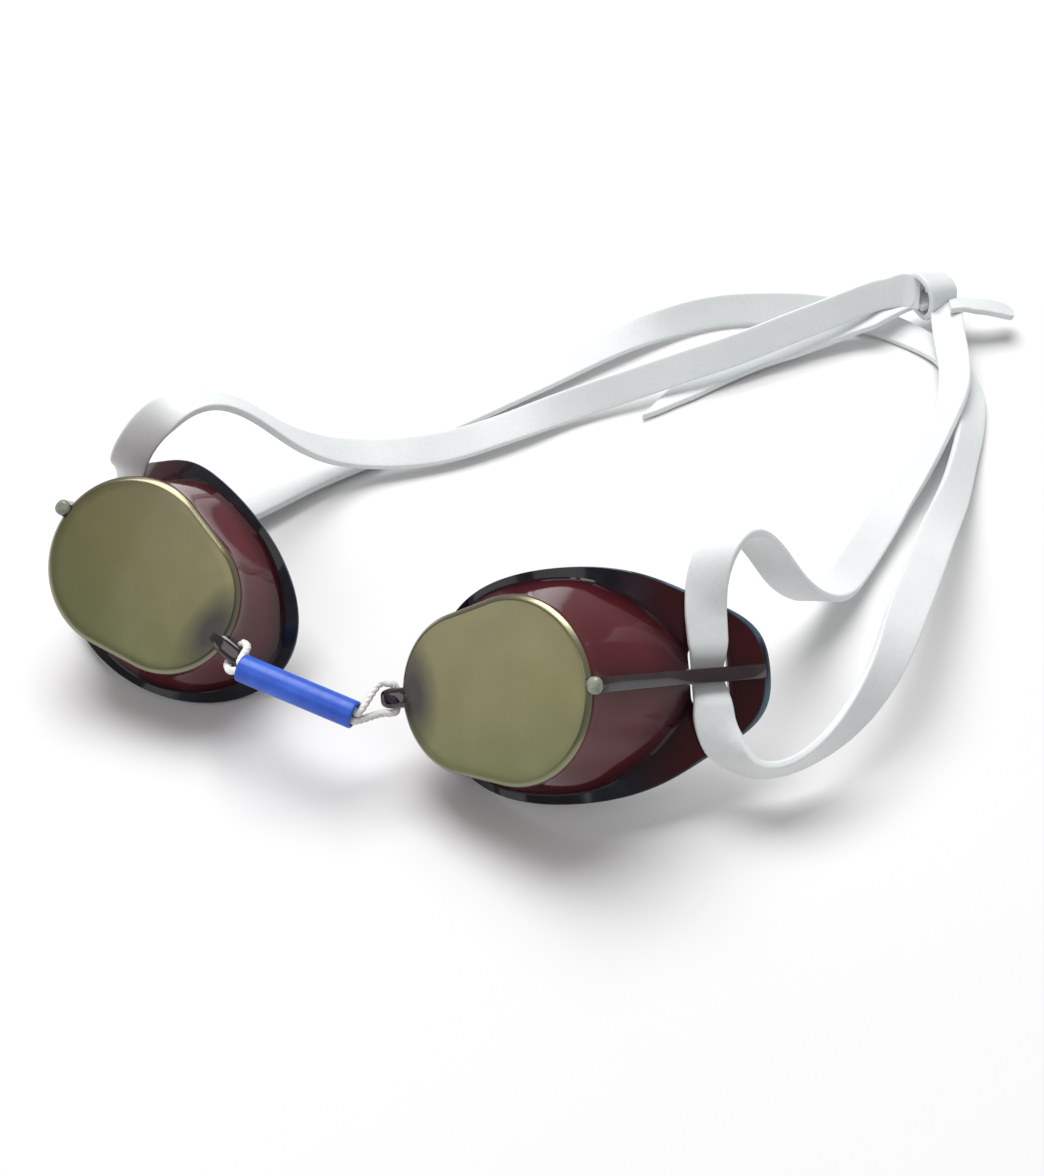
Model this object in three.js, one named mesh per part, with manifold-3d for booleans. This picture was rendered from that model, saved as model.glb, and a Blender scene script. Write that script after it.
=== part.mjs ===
// Swim goggles: two hard moulded eyecups on a string-and-tube nose bridge, with one long
// latex strap threaded behind a bar on each cup and knotted at the back.
// Millimetres, +Z up, the goggles lying on a table with the strap spread out behind them.
import * as THREE from 'three';
import { mergeVertices } from 'three/addons/utils/BufferGeometryUtils.js';
import { RoundedBoxGeometry } from 'three/addons/geometries/RoundedBoxGeometry.js';
import Module from 'manifold-3d';

const wasm = await Module(); wasm.setup();

// ---- driving dimensions -------------------------------------------------------------
const LENS_R1 = 16.0;          // temple end radius of the flat lens face
const LENS_R2 = 13.883;        // nose end radius
const LENS_D = 9.939;          // distance between the two arc centres
const LENS_T = 2.0;            // lens thickness
const WALL_T = 1.6;            // side wall thickness
const FLANGE_T = 1.5;          // sealing flange thickness at its root
const FLANGE_E = 0.9;          // and at its rim
const SURF = [15.386, 0.35742, 0.014219];            // flange depth behind the lens plane
const FLANGE_X0 = 14.295;
const FLANGE_F = [22.3793, -12.4632, 5.7752, -2.101, 0.874, -0.622];
const JUNCTION = [[18.72, 0], [18.5, 2.7], [17.55, 6.1], [15.8, 9.1], [12.9, 12.5], [9.6, 15.2], [6.2, 17.2],
  [2.5, 18.25], [-5.8, 18.3], [-15, 16.2], [-23.2, 10.2], [-27.6, 0]];
const AROUND = 60;             // facets round a cup
const SLOT_X = 20.9, SLOT_U = 3.75, SLOT_Y = 4.7;    // strap window: centre, half width, half height
const RIB_HALF = 1.3;          // half width of the rib and strap bar
const LUG = { x: -24.9, z: -1.6, l: 6.6, h: 3.6, d: 3.8, r: 1.3, hole: 1.0, holeX: -26.0 };
const TUBE_R = 2.5, TUBE_BORE = 1.95;
const STRING_R = 0.7;
const STRAP_T = 1.5;
const OFFSET = [-13.065, -285.755, -0.01];                         // moves the whole object over the origin

// ---- placement of the two cups (rows: cup x, y, z directions; last: lens arc centre) ----
const CUP_L = { x: [0.80428, -0.39533, 0.44366], y: [-0.07413, 0.67402, 0.73498], z: [-0.5896, -0.62403, 0.5128], o: [-1.97833, 208.694, 28.1376] };
const CUP_R = { x: [-0.75998, 0.56089, 0.32839], y: [0.61431, 0.45488, 0.64475], z: [-0.21226, -0.69173, 0.69026], o: [-71.1897, 243.25, 27.1359] };
const TUBE_A = [-49.1416, 224.009, 19.3169], TUBE_B = [-28.7477, 215.397, 16.0166];

// ---- strap centre line tables: x, y, z, width direction, half width, travel direction ----
const KNOT = [99.85, 369.35, 8.7];
const BANDS = {
  strap_upper_left_rear: [
    [101.808, 362.622, 7.504, -0.968, 0.087, -0.235, 3.641, -0.063, -0.992, -0.105],
    [101.18, 355.43, 6.85, -0.977, 0.105, -0.187, 3.7, -0.094, -0.993, -0.07],
    [100.28, 343.25, 6.01, -0.963, 0.113, -0.246, 3.64, -0.103, -0.993, -0.054],
    [98.62, 333.67, 5.68, -0.894, 0.233, -0.382, 3.6, -0.245, -0.969, -0.019],
    [96.37, 326.25, 5.56, -0.793, 0.286, -0.538, 3.6, -0.332, -0.943, -0.013],
    [91.74, 314.92, 5.33, -0.663, 0.326, -0.674, 3.6, -0.419, -0.908, -0.027],
    [86.08, 304.08, 4.8, -0.699, 0.453, -0.553, 3.6, -0.503, -0.862, -0.072],
    [82.43, 298.13, 4.31, -0.765, 0.517, -0.384, 3.6, -0.54, -0.84, -0.055],
    [79.45, 293.51, 4.08, -0.826, 0.528, -0.196, 3.6, -0.533, -0.845, -0.033],
    [78.53, 292.03, 4.02, -0.846, 0.517, -0.131, 3.6, -0.518, -0.855, -0.03],
  ],
  strap_upper_left_run: [
    [78.27, 291.6, 4.01, -0.851, 0.513, -0.112, 3.6, -0.514, -0.858, -0.03],
    [75.57, 286.82, 3.87, -0.876, 0.475, 0.079, 3.67, -0.478, -0.878, -0.018],
    [69.66, 276.08, 3.84, -0.843, 0.474, 0.253, 3.7, -0.488, -0.873, 0.01],
    [63.74, 265.39, 4.51, -0.869, 0.486, 0.094, 3.64, -0.475, -0.871, 0.125],
    [61.55, 261.56, 5.28, -0.858, 0.501, -0.108, 3.6, -0.512, -0.827, 0.234],
    [59.27, 258.3, 6.59, -0.823, 0.493, -0.282, 3.6, -0.568, -0.721, 0.397],
    [56.86, 255.53, 8.61, -0.819, 0.445, -0.363, 3.6, -0.573, -0.602, 0.556],
    [53.05, 251.79, 13.08, -0.857, 0.347, -0.38, 3.6, -0.511, -0.493, 0.704],
    [47.63, 246.04, 22.41, -0.92, 0.204, -0.334, 3.6, -0.391, -0.439, 0.809],
    [42.71, 241.09, 32.47, -0.903, 0.275, -0.331, 3.6, -0.423, -0.419, 0.804],
    [39.39, 237.81, 37.96, -0.846, 0.401, -0.352, 3.6, -0.527, -0.519, 0.673],
    [38.03, 236.46, 39.4, -0.79, 0.477, -0.384, 3.6, -0.612, -0.604, 0.51],
    [36.98, 235.42, 40.1, -0.741, 0.551, -0.384, 3.6, -0.667, -0.667, 0.331],
    [36.04, 234.48, 40.42, -0.707, 0.617, -0.346, 3.6, -0.689, -0.711, 0.139],
    [35.12, 233.49, 40.47, -0.699, 0.662, -0.27, 3.6, -0.671, -0.738, -0.07],
    [34.24, 232.48, 40.24, -0.726, 0.665, -0.174, 3.6, -0.613, -0.741, -0.274],
    [33.46, 231.48, 39.73, -0.779, 0.621, -0.087, 3.6, -0.525, -0.721, -0.453],
    [32.7, 230.34, 38.86, -0.849, 0.527, -0.02, 3.6, -0.405, -0.676, -0.616],
    [32, 228.97, 37.38, -0.923, 0.384, 0.009, 3.6, -0.26, -0.61, -0.749],
    [31.48, 227.29, 35.05, -0.981, 0.192, -0.019, 3.6, -0.092, -0.553, -0.828],
    [31.36, 225.79, 32.77, -1, -0.004, 0.017, 3.6, -0.012, -0.559, -0.829],
    [31.38, 224.6, 31.17, -0.993, -0.115, 0.031, 3.6, 0.051, -0.647, -0.761],
  ],
  strap_turn_left_eyecup: [
    [31.45, 223.94, 30.42, -0.99, -0.141, 0.026, 3.6, 0.076, -0.668, -0.74],
    [31.76, 221.02, 27.01, -0.989, -0.144, 0.033, 3.35, 0.046, -0.513, -0.857],
    [31.77, 220.82, 26.58, -0.989, -0.144, 0.033, 3.27, 0.017, -0.331, -0.944],
    [31.78, 220.7, 26.11, -0.989, -0.144, 0.032, 3.19, -0.006, -0.179, -0.984],
    [31.75, 220.14, 22.91, -0.989, -0.143, 0.035, 2.78, 0.023, -0.39, -0.921],
    [31.77, 219.91, 22.49, -0.989, -0.143, 0.034, 2.75, 0.054, -0.566, -0.822],
    [31.86, 219.08, 21.54, -0.989, -0.145, 0.031, 2.73, 0.078, -0.687, -0.723],
    [31.93, 218.53, 21.04, -0.989, -0.143, 0.033, 2.76, 0.099, -0.813, -0.574],
    [31.98, 218.11, 20.81, -0.989, -0.143, 0.032, 2.8, 0.119, -0.909, -0.399],
    [32.11, 217.17, 20.52, -0.989, -0.144, 0.032, 2.91, 0.133, -0.963, -0.234],
    [32.44, 214.76, 19.95, -0.989, -0.143, 0.033, 3.26, 0.119, -0.912, -0.392],
    [32.49, 214.35, 19.72, -0.989, -0.143, 0.033, 3.34, 0.099, -0.815, -0.571],
    [32.6, 213.42, 18.89, -0.989, -0.144, 0.032, 3.51, 0.081, -0.71, -0.699],
    [33.05, 209.99, 15.3, -0.958, -0.264, -0.112, 3.55, 0.277, -0.752, -0.599],
    [33.23, 209.61, 15.03, -0.898, -0.398, -0.19, 3.51, 0.439, -0.769, -0.464],
    [33.49, 209.23, 14.85, -0.779, -0.593, -0.206, 3.47, 0.627, -0.74, -0.244],
    [33.66, 209.05, 14.81, -0.667, -0.723, -0.18, 3.44, 0.744, -0.659, -0.109],
    [34.06, 208.77, 14.77, -0.523, -0.715, -0.464, 3.4, 0.846, -0.5, -0.182],
    [34.22, 208.68, 14.71, -0.579, -0.452, -0.679, 3.37, 0.807, -0.439, -0.396],
  ],
  strap_lower_left_run: [
    [34.67, 208.37, 14.3, -0.758, -0.108, -0.643, 3.31, 0.615, -0.445, -0.651],
    [34.99, 208.18, 13.92, -0.785, 0.084, -0.614, 3.32, 0.577, -0.261, -0.773],
    [35.37, 208.08, 13.33, -0.832, 0.228, -0.506, 3.39, 0.508, -0.055, -0.86],
    [36.37, 208.11, 11.82, -0.701, 0.367, -0.612, 3.58, 0.663, 0.021, -0.748],
    [37.02, 208.11, 11.22, -0.55, 0.406, -0.73, 3.6, 0.793, -0.02, -0.609],
    [37.8, 208.08, 10.73, -0.362, 0.428, -0.828, 3.6, 0.906, -0.047, -0.42],
    [38.97, 208.03, 10.36, -0.188, 0.449, -0.873, 3.6, 0.976, -0.017, -0.218],
    [42.04, 208.2, 9.91, -0.124, 0.483, -0.867, 3.6, 0.99, 0.114, -0.079],
    [44.4, 208.64, 9.89, -0.076, 0.474, -0.877, 3.6, 0.964, 0.261, 0.058],
    [47.12, 209.65, 10.21, -0.043, 0.415, -0.909, 3.6, 0.895, 0.419, 0.149],
    [51.72, 212.39, 11.28, 0.088, 0.276, -0.957, 3.6, 0.794, 0.561, 0.235],
    [55.1, 215.1, 12.42, 0.235, 0.139, -0.962, 3.6, 0.713, 0.648, 0.268],
    [58.12, 218.18, 13.64, 0.381, 0.009, -0.924, 3.6, 0.637, 0.722, 0.269],
    [61.1, 221.97, 14.91, 0.521, -0.112, -0.846, 3.6, 0.558, 0.795, 0.238],
    [63.72, 226.07, 16, 0.646, -0.206, -0.735, 3.6, 0.493, 0.848, 0.195],
    [65.91, 230.2, 16.79, 0.76, -0.279, -0.587, 3.6, 0.431, 0.892, 0.135],
    [67.93, 234.74, 17.3, 0.848, -0.323, -0.419, 3.66, 0.384, 0.921, 0.069],
    [71.75, 243.96, 17.31, 0.889, -0.388, -0.243, 3.7, 0.385, 0.921, -0.059],
    [76.35, 255.23, 15.91, 0.897, -0.386, -0.216, 3.7, 0.361, 0.921, -0.147],
    [80.67, 266.49, 13.8, 0.896, -0.39, -0.213, 3.7, 0.352, 0.916, -0.194],
    [85.17, 277.6, 11.28, 0.828, -0.429, -0.361, 3.61, 0.371, 0.902, -0.219],
    [89.49, 288.45, 8.51, 0.739, -0.412, -0.533, 3.6, 0.345, 0.911, -0.225],
    [93.47, 299.78, 6.11, 0.689, -0.346, -0.637, 3.6, 0.312, 0.935, -0.169],
    [96.04, 307.52, 4.86, 0.675, -0.317, -0.666, 3.6, 0.309, 0.941, -0.135],
  ],
  strap_lower_rear: [
    [96.2, 307.99, 4.79, 0.676, -0.316, -0.666, 3.6, 0.309, 0.942, -0.133],
    [99.79, 319.61, 3.38, 0.773, -0.264, -0.577, 3.6, 0.26, 0.961, -0.091],
    [101.47, 326.9, 2.83, 0.88, -0.202, -0.429, 3.6, 0.192, 0.979, -0.068],
    [102.59, 333.78, 2.27, 0.956, -0.127, -0.264, 3.6, 0.109, 0.991, -0.082],
    [102.78, 340.49, 1.84, 0.987, 0.035, -0.159, 3.6, -0.043, 0.998, -0.043],
    [101.96, 348.19, 1.64, 0.98, 0.194, -0.051, 3.6, -0.195, 0.981, -0.012],
    [100.94, 351.72, 1.62, 0.928, 0.373, 0.012, 3.6, -0.373, 0.928, -0.003],
    [99.34, 354.77, 1.61, 0.838, 0.54, 0.079, 3.6, -0.542, 0.84, 0.002],
    [96.41, 358.5, 1.65, 0.725, 0.665, 0.178, 3.6, -0.678, 0.735, 0.016],
    [92, 362.54, 1.89, 0.596, 0.74, 0.312, 3.6, -0.792, 0.606, 0.076],
    [88.26, 364.91, 2.38, 0.46, 0.771, 0.44, 3.6, -0.883, 0.447, 0.142],
    [84.41, 366.47, 3.04, 0.337, 0.735, 0.588, 3.6, -0.939, 0.308, 0.154],
    [80.12, 367.7, 3.61, 0.24, 0.641, 0.729, 3.63, -0.963, 0.249, 0.099],
    [72.83, 369.48, 4.03, 0.138, 0.521, 0.842, 3.7, -0.975, 0.223, 0.023],
    [64.95, 370.53, 4.1, 0.018, 0.522, 0.853, 3.7, -0.999, 0.032, 0.002],
    [52.72, 370.12, 4.11, -0.065, 0.529, 0.846, 3.7, -0.993, -0.121, -0],
    [45.93, 368.62, 4.11, -0.173, 0.523, 0.835, 3.7, -0.949, -0.315, -0],
    [36.39, 364.25, 4.1, -0.317, 0.558, 0.767, 3.66, -0.871, -0.492, -0.001],
    [31.03, 361.03, 4.07, -0.421, 0.651, 0.631, 3.62, -0.844, -0.536, -0.011],
    [26.45, 357.99, 3.98, -0.514, 0.719, 0.468, 3.6, -0.82, -0.571, -0.024],
    [18.82, 352.34, 3.65, -0.594, 0.749, 0.295, 3.6, -0.791, -0.611, -0.041],
    [9.23, 344.74, 3.12, -0.618, 0.756, 0.216, 3.6, -0.779, -0.625, -0.043],
    [-0.4, 337.18, 2.59, -0.612, 0.778, 0.145, 3.6, -0.789, -0.613, -0.042],
    [-4.92, 333.64, 2.37, -0.619, 0.778, 0.108, 3.6, -0.784, -0.62, -0.034],
  ],
  strap_lower_right_run: [
    [-5.31, 333.33, 2.35, -0.62, 0.778, 0.105, 3.6, -0.784, -0.62, -0.034],
    [-14.95, 325.77, 2.03, -0.608, 0.79, 0.077, 3.6, -0.794, -0.608, -0.018],
    [-24.79, 318.49, 1.92, -0.582, 0.806, 0.112, 3.6, -0.811, -0.585, -0.001],
    [-34.62, 311.18, 1.93, -0.601, 0.798, 0.056, 3.6, -0.799, -0.602, 0.005],
    [-44.15, 303.51, 2.24, -0.674, 0.738, -0.013, 3.6, -0.738, -0.673, 0.05],
    [-52.81, 294.86, 2.77, -0.718, 0.693, -0.071, 3.6, -0.696, -0.718, 0.029],
    [-59.44, 288.84, 2.68, -0.583, 0.795, -0.168, 3.6, -0.797, -0.6, -0.074],
    [-69.68, 282.19, 1.73, -0.499, 0.842, -0.206, 3.6, -0.854, -0.52, -0.035],
    [-80.21, 275.94, 1.52, -0.491, 0.847, -0.203, 3.6, -0.864, -0.503, -0.009],
    [-88.5, 270.81, 1.8, -0.602, 0.782, -0.162, 3.6, -0.8, -0.573, 0.178],
    [-89.84, 269.83, 2.28, -0.637, 0.765, -0.088, 3.6, -0.727, -0.555, 0.404],
    [-90.47, 269.31, 2.76, -0.654, 0.757, 0.021, 3.6, -0.583, -0.521, 0.623],
    [-90.8, 268.98, 3.24, -0.617, 0.773, 0.147, 3.6, -0.37, -0.455, 0.81],
    [-90.91, 268.8, 3.61, -0.544, 0.811, 0.217, 3.6, -0.181, -0.372, 0.91],
    [-90.95, 268.67, 4, -0.446, 0.865, 0.231, 3.6, 0.019, -0.256, 0.967],
    [-90.9, 268.59, 4.42, -0.362, 0.915, 0.181, 3.6, 0.201, -0.117, 0.973],
    [-90.78, 268.57, 4.83, -0.317, 0.944, 0.088, 3.6, 0.351, 0.029, 0.936],
    [-90.6, 268.62, 5.23, -0.313, 0.95, -0.015, 3.6, 0.467, 0.168, 0.868],
    [-90.23, 268.79, 5.8, -0.347, 0.929, -0.127, 3.6, 0.569, 0.317, 0.758],
    [-88.26, 270.18, 8.21, -0.401, 0.887, -0.227, 3.6, 0.603, 0.442, 0.664],
  ],
  strap_turn_right_eyecup: [
    [-87.65, 270.62, 8.86, -0.402, 0.885, -0.234, 3.6, 0.617, 0.451, 0.645],
    [-84.79, 272.68, 11.64, -0.407, 0.881, -0.24, 3.34, 0.742, 0.472, 0.476],
    [-84.41, 272.91, 11.83, -0.41, 0.88, -0.24, 3.27, 0.834, 0.468, 0.292],
    [-83.77, 273.24, 11.96, -0.401, 0.885, -0.238, 3.15, 0.892, 0.436, 0.117],
    [-81.33, 274.45, 12.34, -0.407, 0.882, -0.239, 2.8, 0.838, 0.464, 0.285],
    [-80.94, 274.68, 12.51, -0.408, 0.881, -0.24, 2.77, 0.75, 0.473, 0.462],
    [-80.6, 274.91, 12.78, -0.403, 0.884, -0.237, 2.74, 0.654, 0.46, 0.601],
    [-79.68, 275.59, 13.78, -0.406, 0.882, -0.239, 2.75, 0.521, 0.439, 0.732],
    [-79.47, 275.8, 14.16, -0.407, 0.881, -0.242, 2.78, 0.359, 0.398, 0.844],
    [-79.33, 275.98, 14.59, -0.407, 0.882, -0.238, 2.83, 0.214, 0.345, 0.914],
    [-79.15, 276.44, 16, -0.419, 0.877, -0.233, 3.01, 0.06, 0.283, 0.957],
    [-79.02, 277.07, 18.14, -0.489, 0.846, -0.213, 3.31, 0.218, 0.355, 0.909],
    [-78.28, 277.94, 20.08, -0.608, 0.786, -0.108, 3.57, 0.353, 0.39, 0.85],
    [-77.65, 278.62, 21.55, -0.706, 0.708, -0.015, 3.6, 0.371, 0.387, 0.844],
  ],
  strap_upper_right_run: [
    [-77.26, 279, 22.38, -0.747, 0.662, 0.064, 3.6, 0.413, 0.387, 0.824],
    [-76.86, 279.33, 23.18, -0.764, 0.625, 0.162, 3.6, 0.364, 0.21, 0.907],
    [-76.8, 279.36, 23.36, -0.764, 0.611, 0.205, 3.6, 0.284, 0.033, 0.958],
    [-76.76, 279.34, 23.53, -0.774, 0.574, 0.267, 3.6, 0.166, -0.223, 0.961],
    [-76.74, 279.28, 23.69, -0.803, 0.502, 0.322, 3.61, 0.047, -0.485, 0.873],
    [-76.74, 279.18, 23.83, -0.842, 0.418, 0.342, 3.61, -0.032, -0.67, 0.741],
    [-76.77, 278.84, 24.1, -0.901, 0.295, 0.318, 3.62, -0.078, -0.832, 0.549],
    [-76.86, 277.51, 24.87, -0.967, 0.15, 0.208, 3.65, -0.01, -0.832, 0.555],
    [-76.84, 277, 25.29, -0.975, 0.097, 0.2, 3.67, 0.082, -0.678, 0.73],
    [-76.79, 276.76, 25.6, -0.971, 0.069, 0.229, 3.68, 0.164, -0.504, 0.848],
    [-76.71, 276.61, 25.94, -0.96, 0.058, 0.274, 3.69, 0.242, -0.322, 0.915],
    [-76.48, 276.45, 26.65, -0.93, 0.052, 0.364, 3.7, 0.355, -0.138, 0.925],
    [-75.79, 276.35, 28.15, -0.886, 0.047, 0.461, 3.7, 0.462, 0.023, 0.886],
    [-74.89, 276.56, 29.68, -0.839, 0.084, 0.537, 3.7, 0.542, 0.199, 0.816],
    [-73.01, 277.42, 32.06, -0.758, 0.201, 0.621, 3.7, 0.65, 0.318, 0.69],
    [-71.11, 278.33, 33.77, -0.663, 0.375, 0.648, 3.7, 0.748, 0.351, 0.563],
    [-69.59, 279.04, 34.75, -0.582, 0.558, 0.591, 3.69, 0.813, 0.385, 0.437],
    [-68.18, 279.73, 35.37, -0.529, 0.719, 0.451, 3.64, 0.849, 0.436, 0.299],
    [-66.76, 280.51, 35.74, -0.522, 0.812, 0.262, 3.61, 0.853, 0.502, 0.145],
    [-65.17, 281.53, 35.84, -0.573, 0.815, 0.086, 3.6, 0.815, 0.578, -0.038],
    [-63.68, 282.69, 35.6, -0.642, 0.767, 0.004, 3.6, 0.749, 0.628, -0.212],
    [-61.97, 284.22, 34.86, -0.689, 0.725, -0.004, 3.6, 0.669, 0.634, -0.388],
    [-59.33, 286.77, 32.82, -0.671, 0.74, 0.044, 3.6, 0.596, 0.574, -0.562],
    [-55.26, 290.77, 27.99, -0.584, 0.798, 0.15, 3.6, 0.497, 0.498, -0.711],
    [-49.2, 296.08, 18.8, -0.476, 0.856, 0.203, 3.6, 0.493, 0.45, -0.744],
    [-43.36, 301.28, 11.47, -0.385, 0.87, 0.309, 3.6, 0.625, 0.492, -0.606],
    [-39.07, 304.28, 8.11, -0.311, 0.879, 0.361, 3.6, 0.759, 0.458, -0.462],
    [-35.65, 306.04, 6.45, -0.24, 0.894, 0.379, 3.6, 0.871, 0.371, -0.323],
    [-31.34, 307.51, 5.29, -0.167, 0.888, 0.429, 3.6, 0.948, 0.264, -0.178],
    [-20.3, 310.5, 4.23, -0.242, 0.811, 0.533, 3.6, 0.948, 0.315, -0.047],
  ],
  strap_upper_right_rear: [
    [-19.82, 310.66, 4.21, -0.251, 0.808, 0.533, 3.6, 0.945, 0.323, -0.045],
    [-10.97, 314.66, 3.95, -0.426, 0.778, 0.461, 3.6, 0.874, 0.485, -0.011],
    [-0.45, 320.93, 3.92, -0.475, 0.737, 0.481, 3.6, 0.841, 0.541, -0],
    [6.69, 325.54, 3.95, -0.409, 0.649, 0.642, 3.6, 0.853, 0.522, 0.016],
    [15.89, 330.57, 4.39, -0.319, 0.545, 0.775, 3.63, 0.898, 0.434, 0.064],
    [27.01, 335.6, 5.42, -0.317, 0.518, 0.795, 3.65, 0.911, 0.399, 0.104],
    [38.24, 340.27, 6.84, -0.305, 0.523, 0.796, 3.65, 0.922, 0.372, 0.109],
    [49.39, 345.19, 7.88, -0.323, 0.508, 0.799, 3.65, 0.885, 0.461, 0.065],
    [59.99, 351.29, 8.62, -0.347, 0.481, 0.805, 3.65, 0.854, 0.516, 0.059],
    [70.58, 357.41, 9.35, -0.327, 0.478, 0.815, 3.65, 0.871, 0.488, 0.063],
    [81.25, 363.44, 10.21, -0.329, 0.476, 0.816, 3.65, 0.874, 0.481, 0.071],
    [86.44, 365.86, 10.55, -0.201, 0.547, 0.813, 3.65, 0.953, 0.3, 0.034],
    [89.28, 366.45, 10.56, -0.037, 0.582, 0.813, 3.65, 0.993, 0.114, -0.036],
    [91.019, 366.528, 10.349, 0.032, 0.603, 0.792, 3.65, 0.987, 0.082, -0.103],
  ],
  strap_tail_long: [
    [31.91, 334.81, 1, 0.537, 0.844, 0, 8.68],
    [36.48, 337.84, 1, 0.221, 0.975, 0, 5.23],
    [40.6, 340.8, 1.1, -0.271, 0.963, 0, 3.83],
    [46.06, 344.82, 1.43, -0.556, 0.83, 0.035, 3.6],
    [55.79, 350.9, 2.15, -0.478, 0.875, 0.07, 3.6],
    [64.41, 354.85, 2.81, -0.422, 0.903, 0.087, 3.6],
    [71.96, 358.47, 3.55, -0.411, 0.909, 0.07, 3.6],
    [77.69, 360.85, 4.53, -0.333, 0.942, 0.035, 3.6],
    [82.75, 362.29, 5.5, -0.272, 0.962, 0, 3.6],
  ],
  strap_tail_short: [
    [106.031, 364.089, 8.702, 0.135, 0.973, -0.186, 3.5],
    [107.01, 364.24, 8.61, 0.152, 0.971, -0.185, 3.5],
    [109.13, 363.88, 8.41, 0.152, 0.977, -0.15, 3.5],
    [111.63, 364.49, 7.91, 0.184, 0.977, -0.11, 3.5],
    [114.21, 364.73, 7.21, 0.188, 0.976, -0.11, 3.5],
    [116.61, 365.08, 6.31, 0.197, 0.969, -0.145, 3.5],
    [118.67, 365.28, 5.2, 0.189, 0.928, -0.321, 3.5],
  ],
};

const V = (a) => new THREE.Vector3(a[0], a[1], a[2]);
const group = new THREE.Group(); group.name = 'swim_goggles';
const material = (name, color, roughness, metalness) => { const m = new THREE.MeshStandardMaterial({ color, roughness, metalness }); m.name = name; return m; };
const M_CUP = material('wine_polycarbonate', 0x4a1420, 0.12, 0.0);
const M_TUBE = material('blue_tubing', 0x1450c8, 0.5, 0.0);
const M_STRING = material('white_string', 0xf2f2ee, 0.7, 0.0);
const M_STRAP = material('pale_latex', 0xdde2e4, 0.6, 0.0);

function geometry(points, tris) {
  const g = new THREE.BufferGeometry();
  g.setAttribute('position', new THREE.Float32BufferAttribute(points.flat(), 3));
  g.setIndex(tris.flat());
  return g;
}
function toManifold(g) {
  const m = mergeVertices(new THREE.BufferGeometry().setAttribute('position', g.attributes.position).setIndex(g.index ?? [...Array(g.attributes.position.count).keys()]), 1e-4);
  return new wasm.Manifold(new wasm.Mesh({ numProp: 3, vertProperties: new Float32Array(m.attributes.position.array), triVerts: new Uint32Array(m.index.array) }));
}
function fromManifold(m) {
  const k = m.getMesh(); const g = new THREE.BufferGeometry();
  g.setAttribute('position', new THREE.Float32BufferAttribute(Float32Array.from(k.vertProperties), 3));
  g.setIndex(Array.from(k.triVerts)); return g;
}
function addMesh(name, g, mat) {
  g.translate(OFFSET[0], OFFSET[1], OFFSET[2]); g.computeVertexNormals();
  const m = new THREE.Mesh(g, mat); m.name = name; group.add(m); return m;
}

// ---- cup outlines --------------------------------------------------------------------
const C0 = [-2, 0];
const surf = (x) => -(SURF[0] + SURF[1] * x + SURF[2] * x * x);
const slope = (x) => -(SURF[1] + 2 * SURF[2] * x);
function outlineLens() {
  const out = [], t = Math.acos(-(LENS_R1 - LENS_R2) / LENS_D);
  for (let i = 0; i <= 160; i++) { const a = -t + 2 * t * i / 160; out.push([LENS_R1 * Math.cos(a), LENS_R1 * Math.sin(a)]); }
  for (let i = 0; i <= 120; i++) { const a = t + (2 * Math.PI - 2 * t) * i / 120; out.push([-LENS_D + LENS_R2 * Math.cos(a), LENS_R2 * Math.sin(a)]); }
  return out;
}
function outlineFlange() {
  const out = [];
  for (let i = 0; i < 360; i++) {
    const a = 2 * Math.PI * i / 360; let r = 0;
    FLANGE_F.forEach((f, k) => { r += f * Math.cos(k * a); });
    out.push([FLANGE_X0 + r * Math.cos(a), r * Math.sin(a)]);
  }
  return out;
}
function outlineJunction() {
  const pts = JUNCTION.concat(JUNCTION.slice(1, -1).reverse().map(([x, y]) => [x, -y]));
  const c = new THREE.CatmullRomCurve3(pts.map(([x, y]) => new THREE.Vector3(x, y, 0)), true, 'centripetal');
  return c.getPoints(240).slice(0, -1).map((p) => [p.x, p.y]);
}
function radius(outline, a) {
  const dx = Math.cos(a), dy = Math.sin(a);
  for (let i = 0; i < outline.length; i++) {
    const p = outline[i], q = outline[(i + 1) % outline.length];
    const px = p[0] - C0[0], py = p[1] - C0[1], qx = q[0] - C0[0], qy = q[1] - C0[1];
    const c1 = dx * py - dy * px, c2 = dx * qy - dy * qx;
    if (c1 <= 0 && c2 > 0 || c1 < 0 && c2 >= 0) {
      const s = c1 / (c1 - c2); const x = px + s * (qx - px), y = py + s * (qy - py);
      if (x * dx + y * dy > 0) return x * dx + y * dy;
    }
  }
  throw new Error('outline has no crossing at ' + a);
}

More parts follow.
